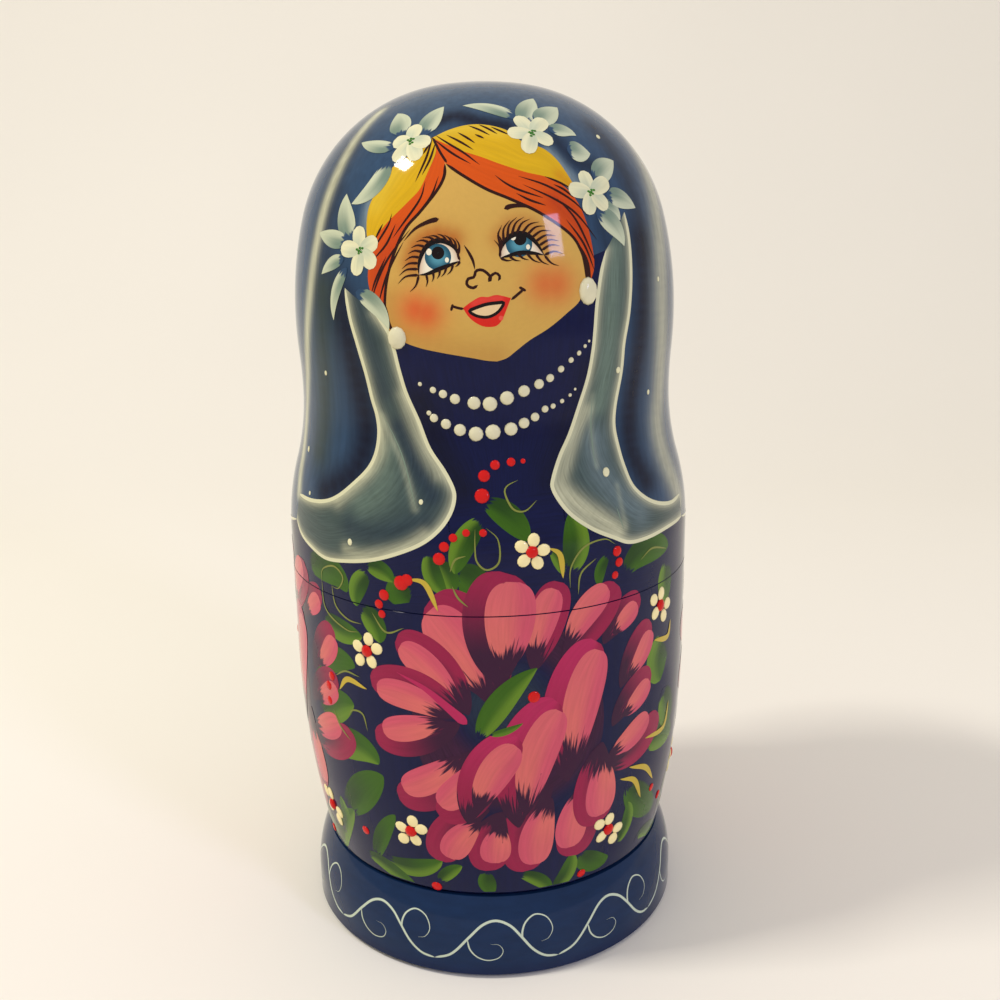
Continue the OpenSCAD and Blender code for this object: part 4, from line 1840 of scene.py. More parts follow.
class GeometryTrees:
    """Geometry Nodes trees for what is turned, repeated or strewn."""

    weld: float = 2e-6

    def _start(self, name: str, **sockets: str) -> tuple[NodeBuilder, dict[str, NodeSocket]]:
        """Start a tree with a geometry input, others after it, and a geometry output.

        Args:
            name: Its name.
            **sockets: Kinds of the other inputs, by their names.

        Returns:
            A builder for its nodes, and the sockets of its inputs by name.
        """
        tree = bpy.data.node_groups.new(name, "GeometryNodeTree")
        for label, kind in {"Geometry": "Geometry", **sockets}.items():
            tree.interface.new_socket(label, in_out="INPUT", socket_type=f"NodeSocket{kind}")
        tree.interface.new_socket("Geometry", in_out="OUTPUT", socket_type="NodeSocketGeometry")
        nodes = NodeBuilder(tree)
        return nodes, {socket.name: socket for socket in nodes.add("NodeGroupInput").outputs}

    def _end(self, nodes: NodeBuilder, shape: Node, *paints: dict) -> GeometryNodeTree:
        """End a tree: realize its instances, set its materials and give the result out.

        Args:
            nodes: Builder for the tree's nodes.
            shape: Node that gives the shape.
            *paints: What goes into each Set Material node besides the shape.

        Returns:
            The tree.
        """
        shape = nodes.add("GeometryNodeRealizeInstances", {"Geometry": shape})
        for paint in paints:
            shape = nodes.add("GeometryNodeSetMaterial", {"Geometry": shape, **paint})
        nodes.add("NodeGroupOutput", {"Geometry": shape})
        return nodes.tree

    @cached_property
    def lathe(self) -> GeometryNodeTree:
        """Turns an outline, given as a row of points, round the Z axis.

        Returns:
            The tree.
        """
        nodes, given = self._start("lathe", Segments="Int", Lacquer="Material", Wood="Material")
        outline = given["Geometry"]
        rows = nodes.add("GeometryNodeAttributeDomainSize", {"Geometry": outline}).outputs["Point Count"]
        columns = nodes.math("ADD", given["Segments"], 1.0)
        grid = nodes.add("GeometryNodeMeshGrid", {"Vertices X": columns, "Vertices Y": rows})
        index = nodes.add("GeometryNodeInputIndex")
        row = nodes.math("MODULO", index, rows)
        column = nodes.math("FLOOR", nodes.math("DIVIDE", index, rows))
        turn = nodes.math("MULTIPLY", nodes.math("DIVIDE", column, given["Segments"]), FULL_TURN)
        bare = nodes.add("GeometryNodeInputNamedAttribute", {"Name": "bare"}, data_type="BOOLEAN")
        place = nodes.add("GeometryNodeInputPosition")
        spot, flag = (
            nodes.add(
                "GeometryNodeSampleIndex",
                {"Geometry": outline, "Value": value, "Index": row}, data_type=kind,
            )
            for value, kind in ((place, "FLOAT_VECTOR"), (bare, "BOOLEAN"))
        )
        parts = nodes.add("ShaderNodeSeparateXYZ", {"Vector": spot}).outputs
        x = nodes.math("MULTIPLY", parts["X"], nodes.math("SINE", turn))
        y = nodes.math("MULTIPLY", nodes.math("MULTIPLY", parts["X"], nodes.math("COSINE", turn)), -1.0)
        moved = nodes.add("ShaderNodeCombineXYZ", {"X": x, "Y": y, "Z": parts["Z"]})
        stored = nodes.add(
            "GeometryNodeStoreNamedAttribute", {"Geometry": grid, "Name": "bare", "Value": flag},
            data_type="BOOLEAN",
        )
        bent = nodes.add("GeometryNodeSetPosition", {"Geometry": stored, "Position": moved})
        whole = nodes.add("GeometryNodeMergeByDistance", {"Geometry": bent, "Distance": self.weld})
        soft = nodes.add("GeometryNodeSetShadeSmooth", {"Geometry": whole})
        wood = {"Selection": bare, "Material": given["Wood"]}
        return self._end(nodes, soft, {"Material": given["Lacquer"]}, wood)

    @cached_property
    def round_and_round(self) -> GeometryNodeTree:
        """Repeats a mesh evenly round the Z axis.

        Returns:
            The tree.
        """
        nodes, given = self._start("round_and_round", Count="Int", Paint="Material")
        points = nodes.add("GeometryNodePoints", {"Count": given["Count"]})
        share = nodes.math("DIVIDE", nodes.add("GeometryNodeInputIndex"), given["Count"])
        angles = nodes.add("ShaderNodeCombineXYZ", {"Z": nodes.math("MULTIPLY", share, FULL_TURN)})
        way = nodes.add("FunctionNodeEulerToRotation", {"Euler": angles})
        places = {"Points": points, "Instance": given["Geometry"], "Rotation": way}
        copies = nodes.add("GeometryNodeInstanceOnPoints", places)
        return self._end(nodes, copies, {"Material": given["Paint"]})

    @cached_property
    def drops(self) -> GeometryNodeTree:
        """Sets a low round drop of paint on every point, by the points' own size and turn.

        Returns:
            The tree.
        """
        nodes, given = self._start("drops", Segments="Int", Rings="Int", Paint="Material")
        shape = {"Segments": given["Segments"], "Rings": given["Rings"], "Radius": 1.0}
        ball = nodes.add("GeometryNodeMeshUVSphere", shape)
        soft = nodes.add("GeometryNodeSetShadeSmooth", {"Geometry": ball})
        turn, size = (
            nodes.add("GeometryNodeInputNamedAttribute", {"Name": name}, data_type="FLOAT_VECTOR")
            for name in ("turn", "size")
        )
        way = nodes.add("FunctionNodeEulerToRotation", {"Euler": turn})
        places = {"Points": given["Geometry"], "Instance": soft, "Rotation": way, "Scale": size}
        copies = nodes.add("GeometryNodeInstanceOnPoints", places)
        return self._end(nodes, copies, {"Material": given["Paint"]})


TREES = GeometryTrees()


def grown(name: str, mesh: Mesh, tree: GeometryNodeTree, values: dict) -> Object:
    """Run a mesh through a Geometry Nodes tree and keep the result as a plain mesh.

    Args:
        name: Name of the object.
        mesh: What goes in.
        tree: The tree.
        values: The tree's inputs by name.

    Returns:
        The object, with no modifier left on it.
    """
    made = bpy.data.objects.new(name, mesh)
    bpy.context.scene.collection.objects.link(made)
    step = made.modifiers.new(tree.name, "NODES")
    step.node_group = tree
    for item in tree.interface.items_tree:
        if item.item_type == "SOCKET" and item.in_out == "INPUT" and item.name in values:
            step[item.identifier] = values[item.name]
    bpy.context.view_layer.update()
    graph = bpy.context.evaluated_depsgraph_get()
    source = made.evaluated_get(graph)
    result = bpy.data.meshes.new_from_object(source, preserve_all_data_layers=True, depsgraph=graph)
    made.modifiers.clear()
    made.data = result
    result.name = name
    bpy.data.meshes.remove(mesh)
    return made


def point_mesh(name: str, points: Array) -> Mesh:
    """Mesh of loose points.

    Args:
        name: Its name.
        points: The points, in metres.

    Returns:
        The mesh.
    """
    mesh = bpy.data.meshes.new(name)
    mesh.vertices.add(len(points))
    mesh.vertices.foreach_set("co", np.asarray(points, np.float32).ravel())
    return mesh


def tag(mesh: Mesh, name: str, kind: str, values: Array) -> None:
    """Write an attribute of a mesh's points.

    Args:
        mesh: The mesh.
        name: Name of the attribute.
        kind: Its type.
        values: One row for each point.
    """
    known = mesh.attributes.get(name)
    layer = known or mesh.attributes.new(name, kind, "POINT")
    if kind == "FLOAT_COLOR":
        values = np.column_stack([values, np.ones(len(values))])
    field = {"FLOAT_COLOR": "color", "FLOAT_VECTOR": "vector"}.get(kind, "value")
    kind_of_number = bool if kind == "BOOLEAN" else np.float32
    layer.data.foreach_set(field, np.ascontiguousarray(values, kind_of_number).ravel())


def places_of(mesh: Mesh) -> Array:
    """Places of a mesh's points.

    Args:
        mesh: The mesh.

    Returns:
        The places, in metres.
    """
    places = np.empty(3 * len(mesh.vertices), np.float32)
    mesh.vertices.foreach_get("co", places)
    return places.reshape(-1, 3).astype(float)


class Half(Enum):
    """Which part of a doll a piece belongs to."""

    LOWER = "lower"
    UPPER = "upper"
    WHOLE = "whole"


@dataclass(frozen=True)
class Nesting:
    """Rule by which each doll follows from the one round it, in millimetres."""

    rim_wall: float = 4.0
    spigot_h: float = 14.0
    spigot_lead: float = 0.8
    crown_wall: float = 8.0
    seam_bevel: float = 0.3
    fit_clearance: float = 0.06
    end_gap: float = 0.4
    nest_gap: float = 1.2
    nest_part: float = 0.143
    nest_least: float = 1.36
    least_wall: float = 0.5
    least_gap: float = 0.3
    floor_step: float = 0.05
    seat_depth: float = 4.0
    seat_clearance: float = 0.1
    edge_gap: float = 0.1
    inside_step: float = 6.0
    hollow_step: float = 3.0

    def rim(self, scale: float) -> float:
        """Rim wall of a doll."""
        return self.least_wall + (self.rim_wall - self.least_wall) * scale

    def gap(self, scale: float) -> float:
        """Gap between a doll and the one inside it."""
        return self.least_gap + (self.nest_gap - self.least_gap) * scale

    def next_scale(self, scale: float) -> float:
        """Scale of the doll inside a doll."""
        return scale * (1.0 - self.nest_part) - self.nest_least / TURNING.belly_r

    def floor(self, scale: float) -> float:
        """Height of a doll's inner floor above its own underside."""
        drop = (scale - self.next_scale(scale)) * TURNING.doll_h
        return self.floor_step * round((drop - scale * self.crown_wall - self.gap(scale)) / self.floor_step)

    def lower(self, scale: float, footed: bool, step: float) -> tuple[Array, int]:
        """Outline of a lower half.

        Args:
            scale: The doll's scale.
            footed: Whether its foot is turned in one with it.
            step: Longest distance between points on the outside.

        Returns:
            Radius and height of each point from underside to inner floor, and the number outside.
        """
        t = TURNING
        body = t.body_points(step)
        body = body[body[:, 1] < t.seam_z - self.seam_bevel - self.edge_gap]
        if footed:
            foot = np.vstack([[(0.0, 0.0)], t.plinth_points(step)])
        else:
            seat = t.plinth_h - self.seat_depth
            foot = np.array([(0.0, seat), (t.tenon_r, seat)])
        edge = [(t.belly_r, t.seam_z - self.seam_bevel), (t.belly_r - self.seam_bevel, t.seam_z)]
        outside = scale * np.vstack([foot, body, edge])
        spigot_r = scale * t.belly_r - self.rim(scale) - self.fit_clearance
        top = scale * (t.seam_z + self.spigot_h)
        lead = scale * self.spigot_lead
        inner, gap, floor = self.next_scale(scale), self.gap(scale), self.floor(scale)
        mouth_r = inner * t.belly_r + gap
        inside = refine(np.array([
            (spigot_r, scale * t.seam_z), (spigot_r, top - lead), (spigot_r - lead, top), (mouth_r, top),
            (mouth_r, floor + inner * t.barrel_z), (inner * t.plinth_r + gap, floor), (0.0, floor),
        ]), self.inside_step)
        return np.vstack([outside, inside]), len(outside)

    def upper(self, scale: float, step: float) -> tuple[Array, int]:
        """Outline of an upper half.

        Args:
            scale: The doll's scale.
            step: Longest distance between points on the outside.

        Returns:
            Radius and height of each point from crown to inner crown, and the number outside.
        """
        t = TURNING
        body = t.body_points(step)
        body = body[body[:, 1] > t.seam_z + self.seam_bevel + self.edge_gap][::-1]
        edge = [(t.belly_r, t.seam_z + self.seam_bevel), (t.belly_r - self.seam_bevel, t.seam_z)]
        outside = scale * np.vstack([body, edge])
        socket_r = scale * t.belly_r - self.rim(scale)
        socket_top = scale * (t.seam_z + self.spigot_h) + self.end_gap
        inner, gap, floor = self.next_scale(scale), self.gap(scale), self.floor(scale)
        mouth_r = inner * t.belly_r + gap
        arcs = [inner * radius + gap for radius in t.dome_arcs]
        head_r, head_z = inner * t.head_r + gap, floor + inner * t.head_z
        hollow = dome(head_r, inner * t.dome_h + gap, head_z, arcs, self.hollow_step * inner)
        inside = refine(np.vstack([[
            (socket_r, scale * t.seam_z), (socket_r, socket_top), (mouth_r, socket_top),
            (mouth_r, floor + inner * t.shoulder_z), (head_r, floor + inner * t.neck_z),
        ], hollow]), self.inside_step)
        return np.vstack([outside, inside]), len(outside)

    def solid(self, scale: float, step: float) -> tuple[Array, int]:
        """Outline of the solid doll, from its underside to its crown, and the number of its points."""
        outside = scale * np.vstack([[(0.0, 0.0)], TURNING.plinth_points(step), TURNING.body_points(step)])
        return outside, len(outside)

    def plinth(self, step: float) -> tuple[Array, int]:
        """Outline of the outer doll's plinth.

        Args:
            step: Longest distance between points.

        Returns:
            Radius and height of each point from underside to seat, and the number outside.
        """
        side = TURNING.plinth_points(step)
        seat_r = TURNING.tenon_r + self.seat_clearance
        low = TURNING.plinth_h - self.seat_depth
        seat = np.array([(seat_r, TURNING.plinth_h), (seat_r, low), (0.0, low)])
        return np.vstack([[(0.0, 0.0)], side, seat]), len(side) + 2


NESTING = Nesting()


@dataclass(frozen=True)
class Piece:
    """Where a piece of the scene belongs: its body, its material slot and the node that it stands for."""

    body: str
    slot: str
    node: Optional[str] = None

    def join(self, made: Object) -> None:
        """Let an object ride on the body, and stand for the node if there is one.

        Args:
            made: The object.
        """
        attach(made, self.body)
        if self.node:
            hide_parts(self.node)
        LOG.info("%s rides on %s, %d faces", made.name, self.body, len(made.data.polygons))


@dataclass(frozen=True)
class Seat:
    """A doll's scale, and the height of its underside in millimetres."""

    scale: float
    base: float

    def metres(self, points: Array) -> Array:
        """Places in metres of points that are given in the outer doll's millimetres."""
        return (points * self.scale + (0.0, 0.0, self.base)) * MM

    def points(self, mesh: Mesh) -> Array:
        """Points of a mesh in the outer doll's millimetres."""
        return (places_of(mesh) / MM - (0.0, 0.0, self.base)) / self.scale


@dataclass(frozen=True)
class Scroll:
    """Running scroll on a plinth: a wave with a curl over each trough and a smaller one under each crest.

    The lines of one wave are given as degrees from its crest and as heights.
    """

    waves: int = 10
    line_width: float = 0.64
    curl_width: float = 0.54
    under_part: float = 0.85
    fine_scale: float = 0.6
    wave: Run = (
        (-18.0, 4.9), (-13.0, 6.8), (-8.0, 11.6), (-4.0, 15.0), (0.0, 16.1), (4.0, 14.8), (7.0, 12.0),
        (10.5, 8.0), (14.0, 5.6), (18.0, 4.9),
    )
    over_curl: Run = (
        (7.6, 10.9), (7.5, 13.0), (8.7, 15.4), (11.6, 16.9), (15.0, 15.8), (16.5, 12.9), (15.2, 10.5),
        (12.9, 9.8),
    )
    under_curl: Run = (
        (-8.3, 11.2), (-7.6, 8.6), (-5.6, 6.5), (-2.6, 5.5), (0.6, 6.2), (1.9, 8.2), (0.7, 9.9),
        (-1.6, 10.1),
    )

    def paths(self) -> list[tuple[Array, float, Taper]]:
        """Lines of one wave.

        Returns:
            Each line with its width and taper.
        """
        return [
            (TURNING.at(*self.wave), self.line_width, Taper.NONE),
            (TURNING.at(*self.over_curl), self.curl_width, Taper.END),
            (TURNING.at(*self.under_curl), self.curl_width * self.under_part, Taper.END),
        ]

    def build(self, name: str, seat: Seat) -> Object:
        """Draw one wave and repeat it round the plinth.

        Args:
            name: Name of the object.
            seat: Where the doll stands.

        Returns:
            The scroll.
        """
        painter = Painter(1 if seat.scale > self.fine_scale else 3)
        for number, (path, width, taper) in enumerate(self.paths()):
            painter.ribbon(path, width, taper.widths, Load(HUE.scroll), Layer.SCROLL + number, Brush.LINER)
        mesh = sheet_mesh(name, painter.sheets, seat)
        values = {"Count": self.waves, "Paint": BRUSHWORK[Brush.LINER].material}
        made = grown(name, mesh, TREES.round_and_round, values)
        set_normals(made.data, seat)
        return made


def sheet_mesh(name: str, sheets: Sequence[Sheet], seat: Seat) -> Mesh:
    """Join sheets of paint into one mesh.

    Args:
        name: Name of the mesh.
        sheets: The sheets, in the outer doll's millimetres.
        seat: Where the doll stands.

    Returns:
        The mesh, in metres, with the paint's attributes.
    """
    starts = np.cumsum([0] + [sheet.points.shape[0] * sheet.points.shape[1] for sheet in sheets])
    quads = []
    for start, sheet in zip(starts, sheets):
        rows, columns = sheet.points.shape[:2]
        grid = start + np.arange(rows * columns).reshape(rows, columns)
        corners = (grid[:-1, :-1], grid[:-1, 1:], grid[1:, 1:], grid[1:, :-1])
        quads.append(np.stack(corners, axis=-1).reshape(-1, 4))
    points = np.vstack([sheet.points.reshape(-1, 3) for sheet in sheets])
    faces = np.vstack(quads)
    mesh = point_mesh(name, seat.metres(points))
    mesh.loops.add(faces.size)
    mesh.loops.foreach_set("vertex_index", faces.ravel().astype(np.int32))
    mesh.polygons.add(len(faces))
    mesh.polygons.foreach_set("loop_start", np.arange(0, faces.size, 4, dtype=np.int32))
    mesh.update(calc_edges=True)
    tag(mesh, "paint", "FLOAT_COLOR", np.vstack([sheet.paint.reshape(-1, 3) for sheet in sheets]))
    tag(mesh, "under", "FLOAT_COLOR", np.vstack([sheet.under.reshape(-1, 3) for sheet in sheets]))
    tag(mesh, "brush", "FLOAT_VECTOR", np.vstack([sheet.brush.reshape(-1, 3) for sheet in sheets]))
    return mesh


def set_normals(mesh: Mesh, seat: Seat) -> None:
    """Give thin paint the normals of the surface under it, so that the lacquer reflects as one.

    Args:
        mesh: The paint.
        seat: Where the doll stands.
    """
    mesh.polygons.foreach_set("use_smooth", np.ones(len(mesh.polygons), bool))
    mesh.normals_split_custom_set_from_vertices(TURNING.normals(seat.points(mesh)))


@dataclass(frozen=True)
class Doll:
    """One doll of the set: its turned shells and its painting."""

    number: int
    seat: Seat
    last: bool = False
    most_segments: int = 256
    fewer_segments: int = 30
    least_segments: int = 72
    first_ring: float = 1.2
    wider_ring: float = 0.3
    drop_sink: float = 0.06
    foot_blend: Pixel = (0.6, 0.2)
    foot_edge: float = 0.32
    seam_edge: float = 0.14

    @property
    def label(self) -> str:
        """Start of the names of its nodes and pieces."""
        return f"doll_{self.number:02d}"

    @property
    def segments(self) -> int:
        """Number of steps round each shell."""
        return max(self.least_segments, self.most_segments - self.fewer_segments * (self.number - 1))

    @property
    def ring_step(self) -> float:
        """Distance between rings on the outside, in the outer doll's millimetres."""
        return self.first_ring + self.wider_ring * (self.number - 1)

    def piece(self, half: Half, replacing: bool = False) -> Piece:
        """Where a piece of one half belongs.

        Args:
            half: Which half.
            replacing: Whether it stands for the half's node.

        Returns:
            Its body, its slot and its node.
        """
        whole = half is Half.WHOLE
        body = f"{'solid' if whole else half.value}_{self.number:02d}"
        slot = "veil_lacquer" if half is Half.UPPER else "dress_lacquer"
        node = f"{self.label}_solid" if whole else f"{self.label}_{half.value}_half"
        return Piece(body, slot, node if replacing else None)

    def turn_shell(self, half: Half) -> Object:
        """Turn one shell and colour its outside.

        Args:
            half: Which half.

        Returns:
            The shell.
        """
        scale, step = self.seat.scale, self.ring_step
        if half is Half.LOWER:
            outline, outside = NESTING.lower(scale, self.number > 1, step)
        elif half is Half.UPPER:
            outline, outside = NESTING.upper(scale, step)
        else:
            outline, outside = NESTING.solid(scale, step)
        name = f"{self.label}_{half.value}_shell"
        made = Shell(name, outline, outside, self.seat.base, self.segments, GROUND).turn()
        tag(made.data, "paint", "FLOAT_COLOR", self.ground(half, self.seat.points(made.data)))
        return made

    def ground(self, half: Half, points: Array) -> Array:
        """Ground colours of a shell.

        Args:
            half: Which half.
            points: Points in the outer doll's millimetres.

        Returns:
            The colours at the points.
        """
        tone = np.tile(HUE.navy, (len(points), 1))
        if self.number > 1:
            high, low = self.foot_blend
            foot = ease(TURNING.plinth_h + high, TURNING.plinth_h + low, points[:, 2])
            tone = blend(tone, HUE.plinth_blue, foot)
        if half is not Half.LOWER:
            over = points[:, 2] > TURNING.seam_z
            tone[over] = Hood().shade()(points[over])
        return tone

    def paint(self, halves: Sequence[Half]) -> None:
        """Paint the doll and join each half's paint to its body.

        Args:
            halves: The doll's halves.
        """
        painter = Painter(self.number)
        for motif in (Bouquet, Veil, Face, Hair, Wreath, Necklace):
            motif(painter).paint()
        for half in halves:
            for finish in Brush:
                made = self.paint_piece(painter, half, finish)
                if made:
                    self.piece(half).join(made)
            made = self.drop_piece(painter, half)
            if made:
                self.piece(half).join(made)

    def paint_piece(self, painter: Painter, half: Half, finish: Brush) -> Optional[Object]:
        """Make the flat paint of one kind on one half.

        Args:
            painter: The painter, with the whole doll's paint.
            half: Which half.
            finish: The kind of brushwork.

        Returns:
            The paint, or None where there is none of its kind.
        """
        cuts = self.cuts(half)
        kept, crossed = [], False
        for sheet in painter.sheets:
            low, high = sheet.points[..., 2].min(), sheet.points[..., 2].max()
            off = any(high < level if above else low > level for level, above in cuts)
            if sheet.finish is finish and not off:
                kept.append(sheet)
                crossed |= any(low < level if above else high > level for level, above in cuts)
        if not kept:
            return None
        name = f"{self.label}_{half.value}_{finish.value}"
        mesh = sheet_mesh(name, kept, self.seat)
        for level, above in cuts if crossed else ():
            self.trim(mesh, (level * self.seat.scale + self.seat.base) * MM, above)
        set_normals(mesh, self.seat)
        mesh.materials.append(BRUSHWORK[finish].material)
        made = bpy.data.objects.new(name, mesh)
        bpy.context.scene.collection.objects.link(made)
        return made

    def cuts(self, half: Half) -> list[tuple[float, bool]]:
        """Heights at which a half's paint is cut off.

        Args:
            half: Which half.

        Returns:
            The heights, each with whether the paint above it stays.
        """
        if half is Half.UPPER:
            return [(TURNING.seam_z + self.seam_edge, True)]
        foot = [(TURNING.plinth_h + TURNING.crevice_depth + self.foot_edge, True)]
        return foot + [(TURNING.seam_z - self.seam_edge, False)] if half is Half.LOWER else foot

    def trim(self, mesh: Mesh, level: float, above: bool) -> None:
        """Cut paint off at a level.

        Args:
            mesh: The paint.
            level: Height of the cut in metres.
            above: Whether the paint above it stays, and not the paint below.
        """
        work = bmesh.new()
        work.from_mesh(mesh)
        bmesh.ops.bisect_plane(
            work, geom=work.verts[:] + work.edges[:] + work.faces[:], plane_co=(0.0, 0.0, level),
            plane_no=(0.0, 0.0, 1.0), clear_inner=above, clear_outer=not above,
        )
        work.to_mesh(mesh)
        work.free()

    def drop_piece(self, painter: Painter, half: Half) -> Optional[Object]:
        """Make the raised drops of paint on one half.

        Args:
            painter: The painter, with the whole doll's paint.
            half: Which half.

        Returns:
            The drops, or None where there are none.
        """
        dabs = [
            dab for dab in painter.dabs
            if half is Half.WHOLE or (dab.middle[2] > TURNING.seam_z) == (half is Half.UPPER)
        ]
        if not dabs:
            return None
        name = f"{self.label}_{half.value}_drops"
        middles = TURNING.settle(np.array([dab.middle for dab in dabs]), self.drop_sink)
        normals = TURNING.normals(middles)
        turns = [self.turn_of(dab.way, normal) for dab, normal in zip(dabs, normals)]
        mesh = point_mesh(name, self.seat.metres(middles))
        tag(mesh, "turn", "FLOAT_VECTOR", np.array(turns))
        tag(mesh, "size", "FLOAT_VECTOR", np.array([dab.sizes for dab in dabs]) * self.seat.scale * MM)
        tag(mesh, "paint", "FLOAT_COLOR", np.array([dab.colour for dab in dabs]))
        fine = self.number < 4
        values = {"Segments": 12 if fine else 8, "Rings": 6 if fine else 5, "Paint": DROPS.material}
        return grown(name, mesh, TREES.drops, values)

    def turn_of(self, way: Array, normal: Array) -> tuple[float, float, float]:
        """Turn that stands a drop on the surface, with its length along a direction.

        Args:
            way: The direction.
            normal: The surface's normal.

        Returns:
            Three angles.
        """
        long = way - normal * (way @ normal)
        long = long / max(float(np.linalg.norm(long)), TINY)
        wide = np.cross(normal, long)
        return tuple(Matrix(np.column_stack([long, wide, normal]).tolist()).to_euler())

    def build(self) -> None:
        """Make the doll's shells, and its painting on them."""
        halves = (Half.WHOLE,) if self.last else (Half.LOWER, Half.UPPER)
        for half in halves:
            self.piece(half, True).join(self.turn_shell(half))
        if self.number > 1:
            scroll = Scroll().build(f"{self.label}_scroll", self.seat)
            self.piece(halves[0]).join(scroll)
        if self.number == 1 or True:
            self.paint(halves)


@dataclass(frozen=True)
class Shell:
    """A shell to turn: its outline in millimetres, with the number of its first points that are painted."""

    name: str
    outline: Array
    outside: int
    base: float
    segments: int
    ground: Lacquer
    sharp_angle: float = 28.0

    def turn(self) -> Object:
        """Turn the shell.

        Returns:
            The shell, lacquered outside and bare inside.
        """
        count = len(self.outline)
        points = np.column_stack([self.outline[:, 0], np.zeros(count), self.outline[:, 1] + self.base]) * MM
        mesh = point_mesh(self.name, points)
        first_bare = self.outside - 1 if self.outside < count else count
        tag(mesh, "bare", "BOOLEAN", np.arange(count) >= first_bare)
        values = {"Segments": self.segments, "Lacquer": self.ground.material, "Wood": WOOD.material}
        made = grown(self.name, mesh, TREES.lathe, values)
        work = bmesh.new()
        work.from_mesh(made.data)
        if work.calc_volume(signed=True) < 0:
            bmesh.ops.reverse_faces(work, faces=work.faces)
        work.to_mesh(made.data)
        work.free()
        made.data.set_sharp_from_angle(angle=math.radians(self.sharp_angle))
        return made


@dataclass(frozen=True)
class Plinth:
    """The outer doll's separate plinth, with its running scroll."""

    segments: int = 256
    ring_step: float = 1.0
    # Height and strength of the painted shade at the plinth's foot, next to the floor.
    shade_h: float = 6.0
    shade_share: float = 0.6

    def build(self) -> None:
        """Turn the plinth, colour it with painted shade that darkens its lowest part towards navy, and draw
        its scroll.
        """
        outline, outside = NESTING.plinth(self.ring_step)
        made = Shell("plinth_shell", outline, outside, 0.0, self.segments, PLINTH_GROUND).turn()
        points = places_of(made.data) / MM
        # Painted shade: the plinth darkens towards navy over its lowest few millimetres, next to the floor.
        low = ease(self.shade_h, 0.0, points[:, 2])
        tone = blend(np.tile(HUE.plinth_blue, (len(points), 1)), HUE.navy, self.shade_share * low)
        tag(made.data, "paint", "FLOAT_COLOR", tone)
        Piece("lower_01", "plinth_lacquer", "plinth").join(made)
        Piece("lower_01", "plinth_lacquer").join(Scroll().build("plinth_scroll", Seat(1.0, 0.0)))


def stand(name: str, data: bpy.types.ID, place: Sequence[float], axes: Sequence[Array]) -> Object:
    """Put a lamp or a camera into the scene.

    Args:
        name: Its name.
        data: What it is.
        place: Where it is, in metres.
        axes: Its own three directions.

    Returns:
        The object.
    """
    made = bpy.data.objects.new(name, data)
    made.matrix_world = Matrix.Translation(place) @ Matrix(np.column_stack(axes).tolist()).to_4x4()
    bpy.context.scene.collection.objects.link(made)
    return made


@dataclass(frozen=True)
class Lamp:
    """A soft lamp: its place and size in metres, its power in watts, its colour, and what it points at."""

    name: str
    place: tuple[float, float, float]
    size: Pixel
    watts: float
    colour: Rgb
    aim: tuple[float, float, float] = (0.0, 0.0, 0.11)

    def hang(self) -> None:
        """Put the lamp into the scene, turned to what it points at."""
        data = bpy.data.lights.new(self.name, "AREA")
        data.shape = "RECTANGLE"
        data.size, data.size_y = self.size
        data.energy = self.watts
        data.color = self.colour
        back = np.array(self.place, float) - np.array(self.aim, float)
        back /= np.linalg.norm(back)
        right = np.cross((0.0, 0.0, 1.0), back)
        right /= np.linalg.norm(right)
        stand(self.name, data, self.place, (right, np.cross(back, right), back))


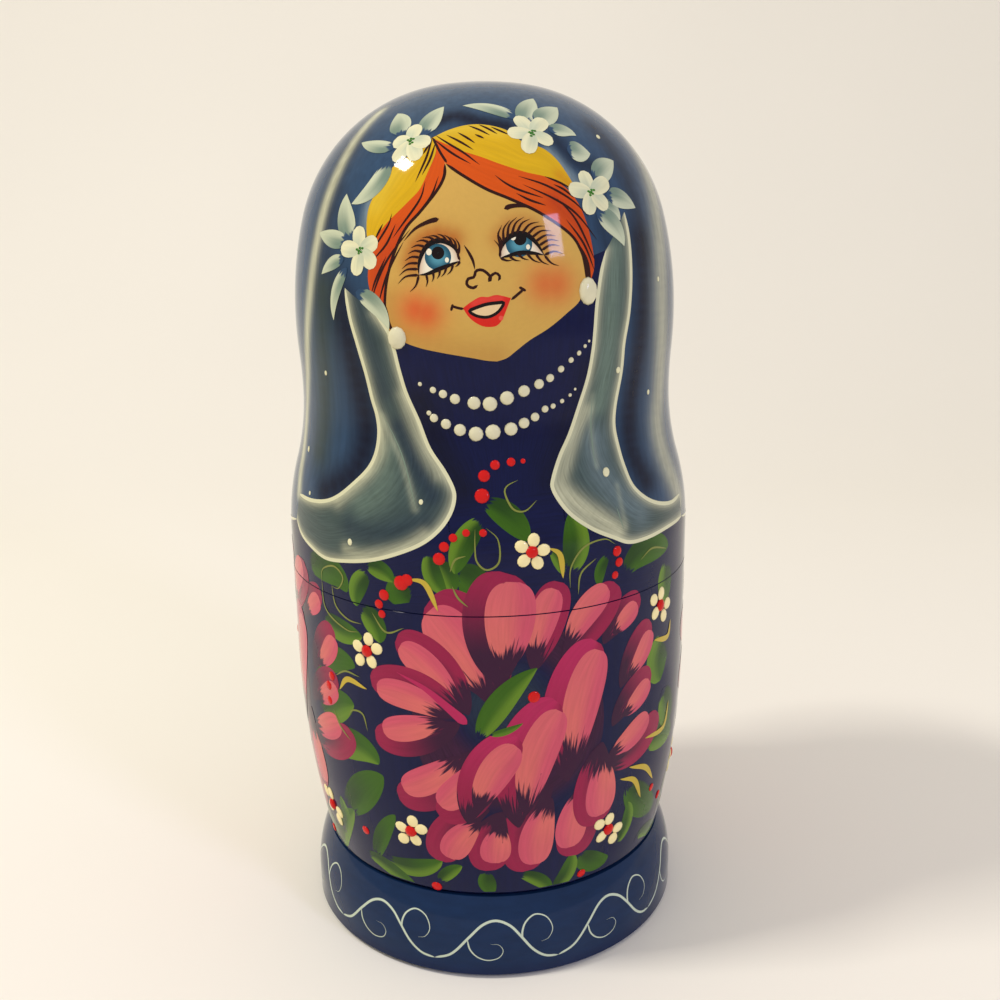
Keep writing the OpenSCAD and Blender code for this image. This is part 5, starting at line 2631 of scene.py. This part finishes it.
@dataclass(frozen=True)
class Studio:
    """Plain pale floor and backdrop, soft lamps, and the photograph's camera."""

    floor_reach: float = 3.0
    wall_y: float = 1.1
    wall_h: float = 2.6
    bend_r: float = 0.7
    bend_step: float = 0.05
    paper_rough: float = 0.7
    world_light: float = 0.66
    world_colour: Rgb = (1.0, 0.97, 0.93)
    near_clip: float = 0.01
    lamps: tuple[Lamp, ...] = (
        Lamp("key_lamp", (-0.7, -0.17, 1.12), (0.2, 0.12), 7.0, (1.0, 0.96, 0.9)),
        Lamp("window", (0.73, -0.79, 0.58), (0.18, 0.26), 3.0, (0.55, 0.58, 1.0)),
    )

    def build(self) -> None:
        """Make the floor, the lamps, the world and the camera."""
        self.build_floor()
        for lamp in self.lamps:
            lamp.hang()
        self.build_world()
        self.build_camera()

    def build_floor(self) -> None:
        """Make a floor that runs up into a backdrop."""
        bend = arc((self.wall_y - self.bend_r, self.bend_r), self.bend_r, -math.pi / 2, 0.0, self.bend_step)
        run = np.vstack([[(-self.floor_reach, 0.0)], bend, [(self.wall_y, self.wall_h)]])
        points = [(side * self.floor_reach, y, z) for y, z in run for side in (-1.0, 1.0)]
        faces = [(2 * i, 2 * i + 1, 2 * i + 3, 2 * i + 2) for i in range(len(run) - 1)]
        mesh = bpy.data.meshes.new("studio_floor")
        mesh.from_pydata(points, [], faces)
        mesh.polygons.foreach_set("use_smooth", np.ones(len(mesh.polygons), bool))
        mesh.materials.append(self.paper())
        floor = bpy.data.objects.new("studio_floor", mesh)
        bpy.context.scene.collection.objects.link(floor)

    def paper(self) -> Material:
        """Pale paper with faint clouds.

        Returns:
            The material.
        """
        made, nodes, shader = new_material("pale_paper")
        place = nodes.add("ShaderNodeTexCoord").outputs["Object"]
        cloud = nodes.add("ShaderNodeTexNoise", {"Vector": place, "Scale": 3.0, "Detail": 2.0})
        value = nodes.math("ADD", nodes.math("MULTIPLY", cloud, 0.04), 0.98)
        toned = nodes.add("ShaderNodeHueSaturation", {"Color": (*HUE.floor, 1.0), "Value": value})
        nodes.feed(shader, {"Base Color": toned, "Roughness": self.paper_rough})
        return made

    def build_world(self) -> None:
        """Light everything softly from all round."""
        world = bpy.data.worlds.new("studio_world")
        world.use_nodes = True
        sky = world.node_tree.nodes["Background"]
        sky.inputs["Color"].default_value = (*self.world_colour, 1.0)
        sky.inputs["Strength"].default_value = self.world_light
        bpy.context.scene.world = world

    def build_camera(self) -> None:
        """Stand the camera where the photograph was taken."""
        data = bpy.data.cameras.new("camera")
        data.sensor_width = VIEW.sensor_mm
        data.lens = VIEW.focal / VIEW.frame_px * VIEW.sensor_mm
        data.clip_start = self.near_clip
        right, up, ahead = VIEW.axes
        camera = stand("camera", data, np.array(VIEW.place) * MM, (right, up, -ahead))
        bpy.context.scene.camera = camera
        bpy.context.scene.view_settings.view_transform = "Standard"


@dataclass(frozen=True)
class DollSet:
    """The whole set, each doll inside the one before it."""

    count: int = 10

    def dolls(self) -> list[Doll]:
        """Place the dolls in each other.

        Returns:
            The dolls from the outer one to the solid one.
        """
        dolls, scale, base = [], 1.0, 0.0
        for number in range(1, self.count + 1):
            dolls.append(Doll(number, Seat(scale, base), number == self.count))
            base += NESTING.floor(scale)
            scale = NESTING.next_scale(scale)
        return dolls

    def build(self) -> None:
        """Make the plinth and every doll."""
        Plinth().build()
        for doll in self.dolls():
            doll.build()


def main() -> None:
    """Build the studio and the dolls."""
    logging.basicConfig(level=logging.INFO, format="%(message)s")
    Studio().build()
    DollSet().build()
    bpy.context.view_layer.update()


if __name__ == "__main__":
    main()
